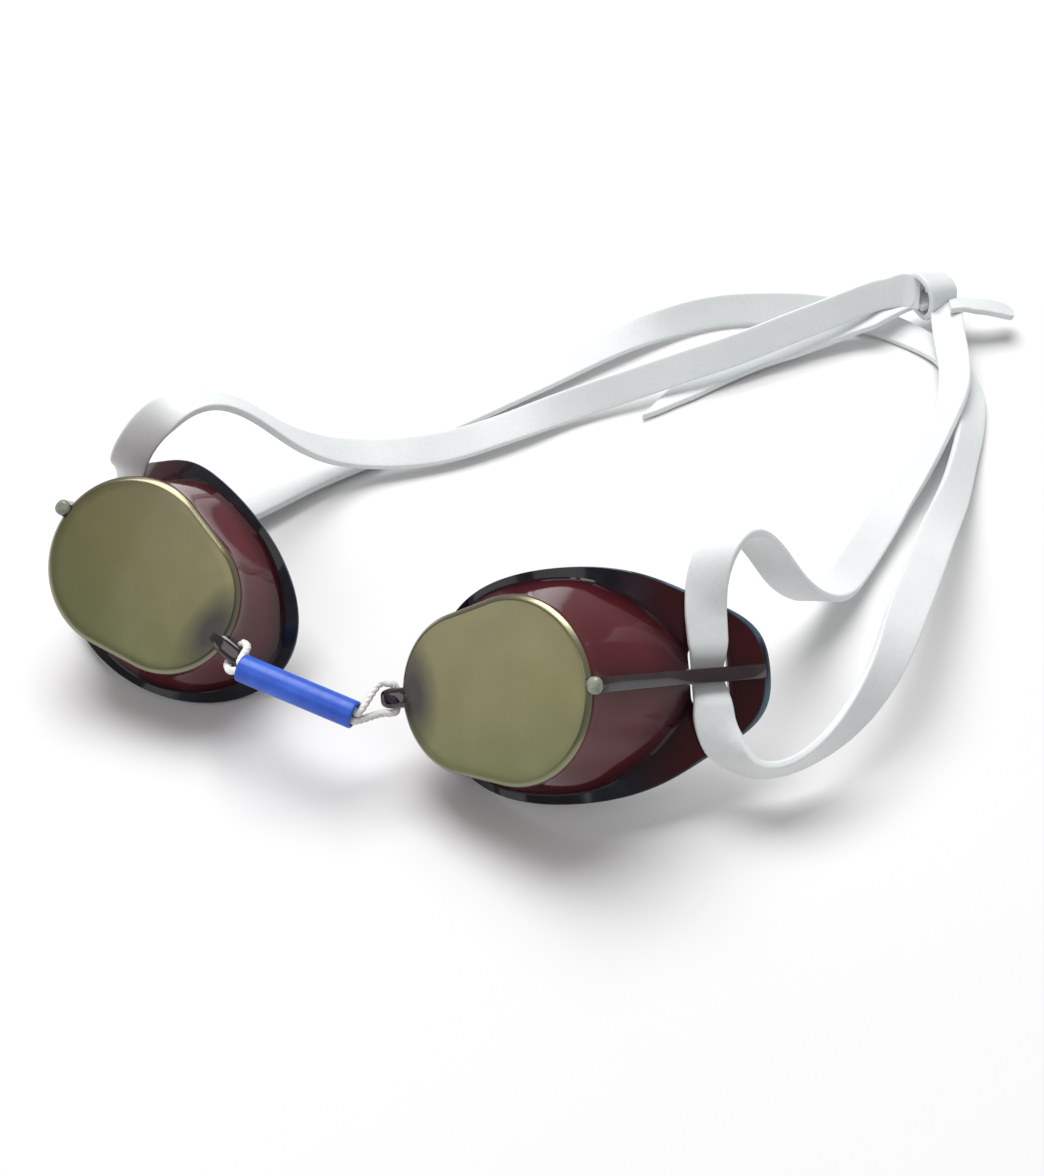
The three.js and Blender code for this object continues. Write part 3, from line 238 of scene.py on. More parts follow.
    [350.75, 86.044, 31.465, 3.611, 0.739, -0.284, -0.611, 3.6],
    [354.0, 86.914, 34.578, 3.301, 0.784, -0.256, -0.565, 3.6],
    [357.0, 87.627, 37.48, 3.068, 0.829, -0.227, -0.511, 3.6],
    [359.75, 88.207, 40.161, 2.883, 0.867, -0.208, -0.452, 3.6],
    [362.5, 88.727, 42.857, 2.69, 0.902, -0.194, -0.385, 3.6],
    [365.0, 89.15, 45.315, 2.493, 0.93, -0.175, -0.324, 3.6],
    [367.5, 89.493, 47.782, 2.285, 0.954, -0.133, -0.269, 3.6],
    [369.75, 89.69, 50.009, 2.109, 0.971, -0.075, -0.228, 3.6],
    [372.25, 89.763, 52.493, 1.947, 0.982, -0.01, -0.19, 3.6],
    [375.25, 89.675, 55.484, 1.803, 0.988, 0.048, -0.149, 3.6],
    [378.75, 89.398, 58.981, 1.695, 0.99, 0.103, -0.102, 3.6],
    [381.5, 89.029, 61.704, 1.644, 0.984, 0.168, -0.063, 3.6],
    [383.25, 88.683, 63.4, 1.624, 0.972, 0.234, -0.035, 3.6],
    [384.75, 88.286, 64.817, 1.612, 0.952, 0.306, -0.01, 3.6],
    [386.0, 87.871, 65.967, 1.607, 0.928, 0.373, 0.012, 3.6],
    [387.25, 87.373, 67.085, 1.604, 0.898, 0.44, 0.035, 3.6],
    [388.5, 86.793, 68.172, 1.603, 0.864, 0.499, 0.059, 3.6],
    [390.0, 86.001, 69.432, 1.605, 0.825, 0.559, 0.09, 3.6],
    [391.75, 84.97, 70.843, 1.613, 0.782, 0.611, 0.126, 3.6],
    [393.75, 83.684, 72.376, 1.632, 0.736, 0.656, 0.168, 3.6],
    [396.0, 82.129, 74.003, 1.675, 0.688, 0.693, 0.215, 3.6],
    [398.25, 80.476, 75.528, 1.758, 0.641, 0.72, 0.265, 3.6],
    [400.5, 78.734, 76.938, 1.901, 0.59, 0.743, 0.318, 3.6],
    [402.25, 77.317, 77.932, 2.063, 0.541, 0.758, 0.364, 3.6],
    [404.0, 75.844, 78.816, 2.271, 0.485, 0.769, 0.416, 3.6],
    [405.75, 74.314, 79.579, 2.519, 0.428, 0.769, 0.474, 3.6],
    [407.5, 72.731, 80.231, 2.791, 0.376, 0.756, 0.535, 3.6],
    [409.25, 71.106, 80.794, 3.063, 0.331, 0.731, 0.597, 3.6],
    [411.0, 69.451, 81.296, 3.314, 0.291, 0.696, 0.656, 3.602],
    [412.75, 67.776, 81.756, 3.527, 0.255, 0.658, 0.709, 3.617],
    [414.75, 65.847, 82.252, 3.718, 0.218, 0.614, 0.759, 3.65],
    [417.25, 63.421, 82.849, 3.886, 0.182, 0.566, 0.804, 3.689],
    [421.0, 59.766, 83.725, 4.021, 0.138, 0.521, 0.842, 3.7],
    [424.5, 56.337, 84.395, 4.074, 0.086, 0.515, 0.853, 3.7],
    [427.0, 53.87, 84.674, 4.089, 0.043, 0.519, 0.853, 3.7],
    [431.0, 49.89, 84.815, 4.097, 0.004, 0.523, 0.852, 3.7],
    [435.0, 45.886, 84.782, 4.098, -0.013, 0.525, 0.851, 3.7],
    [439.0, 41.886, 84.583, 4.098, -0.042, 0.528, 0.848, 3.7],
    [442.5, 38.419, 84.193, 4.097, -0.08, 0.529, 0.845, 3.7],
    [445.0, 35.978, 83.737, 4.097, -0.119, 0.528, 0.841, 3.7],
    [447.25, 33.813, 83.169, 4.097, -0.157, 0.524, 0.837, 3.7],
    [450.0, 31.213, 82.279, 4.096, -0.199, 0.521, 0.83, 3.7],
    [453.5, 27.989, 80.914, 4.096, -0.244, 0.525, 0.816, 3.698],
    [457.5, 24.422, 79.107, 4.095, -0.298, 0.546, 0.783, 3.671],
    [460.5, 21.81, 77.624, 4.089, -0.343, 0.58, 0.739, 3.646],
    [462.75, 19.878, 76.466, 4.079, -0.381, 0.615, 0.691, 3.632],
    [464.75, 18.179, 75.41, 4.062, -0.417, 0.647, 0.638, 3.619],
    [466.75, 16.496, 74.329, 4.038, -0.453, 0.678, 0.579, 3.608],
    [468.75, 14.832, 73.222, 4.005, -0.487, 0.703, 0.518, 3.601],
    [471.0, 12.98, 71.946, 3.956, -0.521, 0.723, 0.454, 3.6],
    [473.75, 10.746, 70.346, 3.877, -0.553, 0.737, 0.389, 3.6],
    [477.5, 7.74, 68.107, 3.743, -0.581, 0.746, 0.325, 3.6],
    [481.5, 4.573, 65.669, 3.581, -0.6, 0.749, 0.28, 3.6],
    [485.5, 1.434, 63.195, 3.408, -0.611, 0.751, 0.251, 3.6],
    [489.5, -1.689, 60.701, 3.233, -0.617, 0.753, 0.229, 3.6],
    [493.5, -4.807, 58.201, 3.06, -0.618, 0.758, 0.21, 3.6],
    [497.5, -7.938, 55.718, 2.884, -0.613, 0.767, 0.19, 3.6],
    [501.5, -11.091, 53.265, 2.705, -0.609, 0.776, 0.165, 3.6],
    [505.5, -14.25, 50.817, 2.534, -0.613, 0.778, 0.139, 3.6],
    [509.5, -17.395, 48.349, 2.383, -0.619, 0.778, 0.112, 3.6],
    [513.5, -20.531, 45.869, 2.252, -0.62, 0.779, 0.09, 3.6],
    [517.5, -23.67, 43.393, 2.141, -0.618, 0.783, 0.077, 3.6],
    [521.5, -26.822, 40.932, 2.05, -0.611, 0.788, 0.075, 3.6],
    [525.5, -30.0, 38.504, 1.979, -0.601, 0.795, 0.084, 3.6],
    [529.5, -33.206, 36.114, 1.931, -0.591, 0.801, 0.099, 3.6],
    [533.5, -36.438, 33.757, 1.91, -0.583, 0.805, 0.11, 3.6],
    [537.5, -39.679, 31.413, 1.907, -0.585, 0.804, 0.11, 3.6],
    [541.5, -42.897, 29.038, 1.906, -0.597, 0.797, 0.096, 3.6],
    [545.5, -46.09, 26.628, 1.909, -0.602, 0.795, 0.071, 3.6],
    [549.5, -49.284, 24.219, 1.93, -0.601, 0.798, 0.04, 3.6],
    [553.5, -52.458, 21.788, 1.995, -0.619, 0.785, 0.012, 3.6],
    [557.5, -55.536, 19.245, 2.129, -0.655, 0.755, -0.006, 3.6],
    [561.5, -58.495, 16.563, 2.323, -0.687, 0.726, -0.018, 3.6],
    [565.5, -61.351, 13.77, 2.516, -0.711, 0.703, -0.032, 3.6],
    [569.5, -64.139, 10.903, 2.68, -0.722, 0.69, -0.052, 3.6],
    [573.5, -66.924, 8.03, 2.802, -0.708, 0.701, -0.085, 3.6],
    [577.25, -69.627, 5.451, 2.82, -0.66, 0.74, -0.127, 3.6],
    [580.0, -71.718, 3.69, 2.73, -0.604, 0.781, -0.158, 3.6],
    [583.25, -74.328, 1.767, 2.473, -0.549, 0.816, -0.183, 3.6],
    [587.25, -77.649, -0.435, 2.118, -0.509, 0.838, -0.199, 3.6],
    [591.25, -81.042, -2.53, 1.81, -0.5, 0.841, -0.205, 3.6],
    [595.25, -84.454, -4.605, 1.663, -0.501, 0.841, -0.206, 3.6],
    [599.25, -87.885, -6.655, 1.585, -0.497, 0.843, -0.205, 3.6],
    [603.25, -91.334, -8.68, 1.535, -0.49, 0.848, -0.203, 3.6],
    [607.25, -94.79, -10.694, 1.501, -0.495, 0.845, -0.202, 3.6],
    [611.25, -98.236, -12.734, 1.516, -0.514, 0.834, -0.201, 3.6],
    [613.5, -100.133, -13.951, 1.587, -0.559, 0.807, -0.191, 3.6],
    [614.75, -101.163, -14.663, 1.715, -0.588, 0.79, -0.173, 3.6],
    [615.75, -101.96, -15.234, 1.894, -0.608, 0.779, -0.15, 3.6],
    [616.5, -102.536, -15.656, 2.093, -0.624, 0.772, -0.12, 3.6],
    [617.0, -102.901, -15.93, 2.27, -0.635, 0.767, -0.09, 3.6],
    [617.5, -103.24, -16.194, 2.488, -0.648, 0.761, -0.044, 3.6],
    [617.75, -103.394, -16.321, 2.614, -0.652, 0.758, -0.015, 3.6],
    [618.0, -103.535, -16.444, 2.751, -0.654, 0.756, 0.021, 3.6],
    [618.25, -103.662, -16.561, 2.9, -0.651, 0.757, 0.062, 3.6],
    [618.5, -103.771, -16.671, 3.06, -0.64, 0.761, 0.106, 3.6],
    [618.75, -103.861, -16.774, 3.23, -0.619, 0.771, 0.151, 3.6],
    [619.0, -103.931, -16.868, 3.41, -0.587, 0.787, 0.191, 3.6],
    [619.25, -103.98, -16.952, 3.598, -0.545, 0.809, 0.222, 3.6],
    [619.5, -104.007, -17.025, 3.793, -0.496, 0.835, 0.238, 3.6],
    [619.75, -104.013, -17.085, 3.995, -0.446, 0.863, 0.237, 3.6],
    [620.0, -103.999, -17.132, 4.2, -0.399, 0.891, 0.218, 3.6],
    [620.25, -103.965, -17.165, 4.407, -0.361, 0.914, 0.185, 3.6],
    [620.5, -103.913, -17.182, 4.615, -0.333, 0.932, 0.14, 3.6],
    [620.75, -103.844, -17.184, 4.821, -0.317, 0.944, 0.089, 3.6],
    [621.0, -103.76, -17.17, 5.024, -0.311, 0.95, 0.036, 3.6],
    [621.25, -103.661, -17.139, 5.222, -0.313, 0.95, -0.015, 3.6],
    [621.5, -103.549, -17.094, 5.416, -0.322, 0.945, -0.061, 3.6],
    [621.75, -103.425, -17.034, 5.604, -0.335, 0.937, -0.099, 3.6],
    [622.25, -103.152, -16.882, 5.967, -0.36, 0.921, -0.149, 3.6],
    [623.75, -102.309, -16.313, 7.015, -0.399, 0.893, -0.207, 3.6],
    [625.5, -101.327, -15.574, 8.202, -0.401, 0.887, -0.227, 3.6],
    [629.5, -98.861, -13.767, 10.766, -0.404, 0.883, -0.238, 3.534],
    [630.75, -98.035, -13.19, 11.507, -0.405, 0.883, -0.239, 3.381],
    [631.0, -97.858, -13.074, 11.633, -0.407, 0.881, -0.24, 3.343],
    [631.25, -97.674, -12.96, 11.738, -0.409, 0.88, -0.241, 3.304],
    [631.5, -97.479, -12.847, 11.82, -0.41, 0.88, -0.24, 3.266],
    [631.75, -97.273, -12.735, 11.878, -0.408, 0.881, -0.239, 3.228],
    [632.25, -96.836, -12.515, 11.952, -0.401, 0.885, -0.238, 3.154],
    [634.75, -94.601, -11.415, 12.265, -0.405, 0.883, -0.238, 2.828],
    [635.25, -94.193, -11.188, 12.404, -0.408, 0.881, -0.24, 2.783],
    [635.5, -94.006, -11.074, 12.504, -0.408, 0.881, -0.24, 2.765],
    [635.75, -93.831, -10.96, 12.627, -0.406, 0.882, -0.239, 2.751],
    [636.0, -93.665, -10.846, 12.77, -0.403, 0.884, -0.237, 2.74],
    [637.0, -93.033, -10.386, 13.423, -0.402, 0.885, -0.235, 2.733],
    [637.5, -92.746, -10.163, 13.765, -0.406, 0.882, -0.239, 2.751],
    [637.75, -92.628, -10.058, 13.95, -0.407, 0.881, -0.242, 2.765],
    [638.0, -92.531, -9.959, 14.146, -0.407, 0.881, -0.242, 2.783],
    [638.25, -92.455, -9.866, 14.356, -0.407, 0.881, -0.24, 2.804],
    [638.5, -92.396, -9.779, 14.578, -0.407, 0.882, -0.238, 2.827],
    [639.0, -92.312, -9.616, 15.042, -0.409, 0.882, -0.235, 2.882],
    [640.0, -92.217, -9.318, 15.994, -0.419, 0.877, -0.233, 3.008],
    [642.0, -92.131, -8.765, 17.909, -0.476, 0.85, -0.226, 3.278],
    [642.25, -92.087, -8.682, 18.133, -0.489, 0.846, -0.213, 3.314],
    [642.5, -92.025, -8.592, 18.353, -0.5, 0.843, -0.196, 3.35],
    [643.5, -91.738, -8.273, 19.108, -0.507, 0.856, -0.106, 3.423],
    [644.0, -91.619, -8.175, 19.439, -0.503, 0.863, -0.04, 3.428],
    [644.5, -91.504, -8.106, 19.777, -0.512, 0.858, 0.027, 3.436],
    [645.0, -91.394, -8.062, 20.12, -0.534, 0.841, 0.09, 3.446],
    [645.5, -91.288, -8.042, 20.469, -0.565, 0.811, 0.148, 3.459],
    [646.0, -91.185, -8.045, 20.822, -0.605, 0.771, 0.199, 3.474],
    [646.5, -91.086, -8.067, 21.18, -0.65, 0.721, 0.24, 3.49],
    [647.0, -90.988, -8.106, 21.541, -0.697, 0.663, 0.272, 3.507],
    [647.5, -90.892, -8.161, 21.905, -0.744, 0.6, 0.295, 3.525],
    [648.0, -90.798, -8.229, 22.271, -0.787, 0.534, 0.309, 3.544],
    [648.5, -90.704, -8.309, 22.639, -0.825, 0.467, 0.317, 3.563],
    [649.0, -90.61, -8.397, 23.008, -0.858, 0.403, 0.319, 3.582],
    [649.75, -90.468, -8.541, 23.562, -0.896, 0.313, 0.316, 3.61],
    [650.5, -90.323, -8.694, 24.116, -0.921, 0.234, 0.311, 3.636],
    [651.5, -90.122, -8.898, 24.849, -0.94, 0.15, 0.308, 3.665],
    [652.75, -89.851, -9.129, 25.752, -0.944, 0.079, 0.319, 3.689],
    [653.75, -89.614, -9.273, 26.457, -0.936, 0.054, 0.348, 3.696],
    [654.5, -89.395, -9.351, 27.011, -0.917, 0.047, 0.396, 3.699],
    [655.5, -89.049, -9.409, 27.764, -0.897, 0.044, 0.441, 3.7],
    [656.25, -88.756, -9.402, 28.334, -0.881, 0.049, 0.471, 3.7],
    [657.0, -88.433, -9.346, 28.907, -0.863, 0.061, 0.501, 3.7],
    [657.75, -88.079, -9.242, 29.481, -0.845, 0.078, 0.529, 3.7],
    [658.75, -87.559, -9.04, 30.241, -0.822, 0.105, 0.56, 3.7],
    [660.0, -86.846, -8.714, 31.166, -0.791, 0.148, 0.593, 3.7],
    [661.5, -85.91, -8.259, 32.216, -0.75, 0.213, 0.626, 3.7],
    [662.75, -85.07, -7.852, 33.023, -0.71, 0.284, 0.644, 3.7],
    [663.75, -84.36, -7.516, 33.616, -0.673, 0.355, 0.649, 3.7],
    [664.75, -83.619, -7.169, 34.153, -0.633, 0.439, 0.638, 3.699],
    [665.5, -83.044, -6.901, 34.516, -0.602, 0.509, 0.615, 3.695],
    [666.25, -82.456, -6.622, 34.84, -0.573, 0.583, 0.576, 3.684],
    [667.0, -81.857, -6.332, 35.122, -0.547, 0.655, 0.521, 3.666],
    [667.75, -81.25, -6.027, 35.359, -0.529, 0.719, 0.451, 3.644],
    [668.5, -80.639, -5.705, 35.551, -0.519, 0.77, 0.372, 3.623],
    [669.25, -80.029, -5.365, 35.694, -0.52, 0.804, 0.289, 3.609],
    [670.0, -79.423, -5.004, 35.789, -0.53, 0.821, 0.21, 3.603],
    [670.75, -78.825, -4.623, 35.835, -0.549, 0.824, 0.142, 3.601],
    [671.5, -78.239, -4.222, 35.832, -0.573, 0.815, 0.086, 3.6],
    [672.25, -77.667, -3.802, 35.781, -0.6, 0.799, 0.045, 3.6],
    [673.0, -77.111, -3.367, 35.682, -0.626, 0.78, 0.017, 3.6],
    [674.0, -76.394, -2.767, 35.479, -0.656, 0.755, -0.003, 3.6],
    [675.0, -75.705, -2.152, 35.201, -0.677, 0.736, -0.008, 3.6],
    [676.25, -74.877, -1.377, 34.756, -0.691, 0.723, -0.002, 3.6],
    [677.75, -73.921, -0.456, 34.106, -0.691, 0.723, 0.013, 3.6],
    [679.5, -72.846, 0.585, 33.221, -0.679, 0.734, 0.034, 3.6],
    [681.75, -71.521, 1.862, 31.94, -0.656, 0.752, 0.066, 3.6],
    [684.5, -69.998, 3.346, 30.208, -0.627, 0.772, 0.11, 3.6],
    [687.75, -68.329, 5.014, 27.982, -0.584, 0.798, 0.15, 3.6],
    [691.5, -66.492, 6.777, 25.239, -0.524, 0.839, 0.15, 3.6],
    [695.5, -64.505, 8.433, 22.2, -0.479, 0.867, 0.14, 3.6],
    [699.5, -62.515, 10.101, 19.167, -0.476, 0.858, 0.194, 3.6],
    [703.5, -60.522, 11.967, 16.252, -0.463, 0.851, 0.246, 3.6],
    [707.25, -58.506, 13.799, 13.683, -0.426, 0.862, 0.275, 3.6],
    [710.5, -56.58, 15.398, 11.615, -0.388, 0.869, 0.307, 3.6],
    [713.25, -54.808, 16.745, 10.009, -0.356, 0.873, 0.334, 3.6],
    [715.5, -53.245, 17.825, 8.819, -0.33, 0.876, 0.352, 3.6],
    [717.5, -51.759, 18.748, 7.873, -0.305, 0.88, 0.363, 3.6],
    [719.25, -50.38, 19.505, 7.145, -0.277, 0.887, 0.37, 3.6],
    [720.75, -49.137, 20.101, 6.603, -0.25, 0.892, 0.376, 3.6],
    [722.25, -47.841, 20.64, 6.138, -0.221, 0.896, 0.385, 3.6],
    [724.0, -46.268, 21.196, 5.688, -0.19, 0.896, 0.402, 3.6],
    [726.25, -44.169, 21.819, 5.239, -0.165, 0.886, 0.433, 3.6],
    [729.75, -40.811, 22.682, 4.762, -0.161, 0.861, 0.483, 3.6],
    [733.75, -36.947, 23.67, 4.428, -0.19, 0.831, 0.523, 3.6],
    [737.75, -33.126, 24.822, 4.207, -0.247, 0.809, 0.533, 3.6],
    [741.5, -29.627, 26.14, 4.062, -0.317, 0.795, 0.517, 3.6],
    [744.75, -26.686, 27.496, 3.982, -0.382, 0.784, 0.49, 3.6],
    [748.75, -23.166, 29.389, 3.929, -0.436, 0.778, 0.452, 3.6],
    [752.75, -19.699, 31.392, 3.91, -0.456, 0.779, 0.43, 3.6],
    [756.75, -16.266, 33.447, 3.907, -0.469, 0.764, 0.443, 3.6],
    [760.75, -12.885, 35.584, 3.906, -0.474, 0.729, 0.493, 3.6],
    [764.0, -10.168, 37.367, 3.907, -0.458, 0.696, 0.553, 3.6],
    [767.0, -7.648, 38.993, 3.921, -0.426, 0.666, 0.613, 3.6],
    [770.0, -5.092, 40.559, 3.969, -0.393, 0.631, 0.669, 3.602],
    [773.25, -2.274, 42.174, 4.075, -0.361, 0.592, 0.721, 3.61],
    [777.25, 1.256, 44.038, 4.272, -0.328, 0.556, 0.764, 3.622],
    [781.25, 4.85, 45.77, 4.531, -0.311, 0.535, 0.785, 3.638],
    [785.25, 8.481, 47.421, 4.847, -0.31, 0.524, 0.793, 3.649],
    [789.25, 12.119, 49.045, 5.213, -0.315, 0.519, 0.795, 3.65],
    [793.25, 15.764, 50.638, 5.628, -0.318, 0.517, 0.794, 3.65],
    [797.25, 19.425, 52.181, 6.091, -0.319, 0.518, 0.794, 3.65],
    [801.25, 23.102, 53.682, 6.574, -0.312, 0.52, 0.795, 3.65],
    [805.25, 26.79, 55.171, 7.014, -0.3, 0.525, 0.797, 3.65],
    [809.25, 30.473, 56.687, 7.388, -0.297, 0.525, 0.798, 3.65],
    [813.25, 34.103, 58.32, 7.702, -0.312, 0.516, 0.798, 3.65],
    [817.25, 37.651, 60.136, 7.969, -0.329, 0.503, 0.799, 3.65],
    [821.25, 41.135, 62.09, 8.211, -0.34, 0.494, 0.8, 3.65],
    [825.25, 44.576, 64.117, 8.448, -0.346, 0.485, 0.803, 3.65],
    [829.25, 47.996, 66.18, 8.686, -0.345, 0.481, 0.806, 3.65],
    [833.25, 51.431, 68.215, 8.922, -0.335, 0.482, 0.81, 3.65],
    [837.25, 54.9, 70.19, 9.159, -0.326, 0.482, 0.813, 3.65],
    [841.25, 58.384, 72.142, 9.406, -0.328, 0.477, 0.816, 3.65],
    [845.25, 61.856, 74.113, 9.674, -0.335, 0.47, 0.817, 3.65],
    [849.25, 65.329, 76.094, 9.961, -0.334, 0.47, 0.817, 3.65],
    [853.25, 68.845, 78.053, 10.252, -0.325, 0.479, 0.815, 3.65],
    [856.25, 71.539, 79.402, 10.45, -0.278, 0.512, 0.813, 3.65],
    [857.75, 72.914, 79.95, 10.524, -0.224, 0.538, 0.812, 3.65],
    [859.0, 74.079, 80.306, 10.563, -0.163, 0.559, 0.813, 3.65],
    [860.25, 75.231, 80.631, 10.597, -0.094, 0.574, 0.814, 3.691],
    [861.5, 76.332, 81.017, 10.651, -0.023, 0.583, 0.812, 3.824],
    [863.0, 77.629, 81.454, 10.679, 0.052, 0.593, 0.803, 4.026],
    [863.75, 78.281, 81.625, 10.656, 0.083, 0.6, 0.795, 4.114],
    [864.5, 78.942, 81.746, 10.597, 0.109, 0.61, 0.785, 4.176],
    [865.0, 79.39, 81.79, 10.534, 0.123, 0.618, 0.777, 4.197],
    [866.75, 80.917, 81.841, 10.22, 0.147, 0.654, 0.742, 4.199],
    [868.75, 82.388, 81.95, 9.826, 0.133, 0.699, 0.703, 4.182],
    [870.25, 83.215, 82.059, 9.568, 0.108, 0.726, 0.68, 4.16]])          # s, x, y, z, width direction, half width
CUTS = {"ru_rear": [0.0, 81.0], "ru_run": [81.0, 185.47], "wrapR": [185.47, 210.58], "rl_run": [210.58, 340.75], "rear": [340.75, 510.5], "ll_run": [510.5, 625.95], "wrapL": [625.95, 646.82], "lu_run": [646.82, 737.75], "lu_rear": [737.75, 870.25]}
TAIL_LONG = np.array([[18.845, 49.055, 0.99, 0.537, 0.844, 0.0, 8.68], [23.415, 52.085, 0.99, 0.221, 0.975, 0.0, 5.23], [27.535, 55.045, 1.09, -0.271, 0.963, 0.0, 3.83], [32.995, 59.065, 1.42, -0.556, 0.83, 0.035, 3.6], [42.725, 65.145, 2.14, -0.478, 0.875, 0.07, 3.6], [51.345, 69.095, 2.8, -0.422, 0.903, 0.087, 3.6], [58.895, 72.715, 3.54, -0.411, 0.909, 0.07, 3.6], [64.625, 75.095, 4.52, -0.333, 0.942, 0.035, 3.6], [69.685, 76.535, 5.49, -0.272, 0.962, 0.0, 3.6], [73.122, 77.511, 6.569, -0.388, 0.916, 0.1, 2.8], [76.958, 79.27, 7.119, -0.388, 0.916, 0.1, 2.3], [80.83, 81.18, 7.379, -0.388, 0.916, 0.1, 1.9]])
TAIL_SHORT = np.array([[89.505, 77.525, 8.9, 0.111, 0.976, -0.188, 3.5], [91.805, 78.155, 8.8, 0.115, 0.976, -0.187, 3.5], [93.945, 78.485, 8.6, 0.152, 0.971, -0.185, 3.5], [96.065, 78.125, 8.4, 0.152, 0.977, -0.15, 3.5], [98.565, 78.735, 7.9, 0.184, 0.977, -0.11, 3.5], [101.145, 78.975, 7.2, 0.188, 0.976, -0.11, 3.5], [103.545, 79.325, 6.3, 0.197, 0.969, -0.145, 3.5], [105.605, 79.525, 5.19, 0.189, 0.928, -0.321, 3.5]])

# ------------------------------------------------------------------ mesh helpers
def make(name, verts, faces, mats, mat_index=None, smooth=True, sharp=None):
    me = bpy.data.meshes.new(name)
    me.from_pydata([tuple(float(c) * MM for c in v) for v in verts], [], faces)
    for m in mats:
        me.materials.append(m)
    if mat_index is not None:
        me.polygons.foreach_set("material_index", np.array(mat_index, dtype=np.int32))
    me.update()
    ob = bpy.data.objects.new(name, me)
    scene.collection.objects.link(ob)
    bm = bmesh.new(); bm.from_mesh(me)
    bmesh.ops.recalc_face_normals(bm, faces=bm.faces)
    for f in bm.faces:
        f.smooth = smooth
    if sharp is not None:
        for e in bm.edges:
            if len(e.link_faces) == 2 and e.calc_face_angle(0) > math.radians(sharp):
                e.smooth = False
    bm.to_mesh(me); bm.free()
    return ob

def resharp(ob, angle):
    bm = bmesh.new(); bm.from_mesh(ob.data)
    for f in bm.faces:
        f.smooth = True
    for e in bm.edges:
        e.smooth = not (len(e.link_faces) == 2 and e.calc_face_angle(0) > math.radians(angle))
    bm.to_mesh(ob.data); bm.free()

def boolean(ob, other, op):
    m = ob.modifiers.new("b", "BOOLEAN"); m.operation = op; m.object = other; m.solver = "EXACT"; m.material_mode = "TRANSFER"
    dg = bpy.context.evaluated_depsgraph_get(); dg.update()
    me = bpy.data.meshes.new_from_object(ob.evaluated_get(dg), preserve_all_data_layers=True, depsgraph=dg)
    ob.modifiers.clear(); ob.data = me
    bpy.data.objects.remove(other)

def norm(a):
    a = np.asarray(a, float)
    return a / np.maximum(np.linalg.norm(a, axis=-1, keepdims=True), 1e-12)

# ------------------------------------------------------------------ node helpers
class NT:
    def __init__(self, name):
        self.m = bpy.data.materials.new(name); self.m.use_nodes = True
        self.t = self.m.node_tree; self.b = self.t.nodes["Principled BSDF"]
    def n(self, kind, **kw):
        x = self.t.nodes.new(kind)
        for k, v in kw.items():
            if k.startswith("i_"):
                x.inputs[int(k[2:])].default_value = v
            else:
                setattr(x, k, v)
        return x
    def l(self, a, b):
        self.t.links.new(a, b)
    def coords(self, scale=(1, 1, 1)):
        tc = self.n("ShaderNodeTexCoord"); mp = self.n("ShaderNodeMapping")
        mp.inputs["Scale"].default_value = scale
        self.l(tc.outputs["Object"], mp.inputs["Vector"]); return mp.outputs["Vector"]
    def noise(self, vec, scale, detail=4, rough=0.5):
        x = self.n("ShaderNodeTexNoise"); x.inputs["Scale"].default_value = scale; x.inputs["Detail"].default_value = detail
        x.inputs["Roughness"].default_value = rough; self.l(vec, x.inputs["Vector"]); return x.outputs["Fac"]
    def ramp(self, fac, stops):
        x = self.n("ShaderNodeValToRGB"); e = x.color_ramp.elements
        e[0].position, e[0].color = stops[0][0], (*stops[0][1], 1); e[1].position, e[1].color = stops[-1][0], (*stops[-1][1], 1)
        for p, c in stops[1:-1]:
            q = e.new(p); q.color = (*c, 1)
        self.l(fac, x.inputs["Fac"]); return x.outputs["Color"]
    def maprange(self, v, a, b, c, d):
        x = self.n("ShaderNodeMapRange"); x.inputs[1].default_value = a; x.inputs[2].default_value = b
        x.inputs[3].default_value = c; x.inputs[4].default_value = d; self.l(v, x.inputs[0]); return x.outputs[0]
    def mix(self, f, a, b, mode="MIX"):
        x = self.n("ShaderNodeMix"); x.data_type = "RGBA"; x.blend_type = mode
        for s, v in ((x.inputs["Factor"], f), (x.inputs["A"], a), (x.inputs["B"], b)):
            if hasattr(v, "is_output"): self.l(v, s)
            elif isinstance(v, tuple): s.default_value = (*v, 1) if len(v) == 3 else v
            else: s.default_value = v
        # colour sockets of the Mix node share names with float ones
        return [o for o in x.outputs if o.type == "RGBA"][0]
    def math(self, op, a, b=None):
        x = self.n("ShaderNodeMath", operation=op)
        for i, v in enumerate((a, b)):
            if v is None: continue
            if hasattr(v, "is_output"): self.l(v, x.inputs[i])
            else: x.inputs[i].default_value = v
        return x.outputs[0]
    def bump(self, h, strength, dist):
        x = self.n("ShaderNodeBump"); x.inputs["Strength"].default_value = strength; x.inputs["Distance"].default_value = dist
        self.l(h, x.inputs["Height"]); self.l(x.outputs["Normal"], self.b.inputs["Normal"]); return x

def mixc(nt, f, a, b, mode="MIX"):
    x = nt.n("ShaderNodeMixRGB"); x.blend_type = mode
    for i, v in enumerate((f, a, b)):
        if isinstance(v, (int, float)): x.inputs[i].default_value = v
        elif isinstance(v, tuple): x.inputs[i].default_value = (*v, 1)
        else: nt.l(v, x.inputs[i])
    return x.outputs[0]

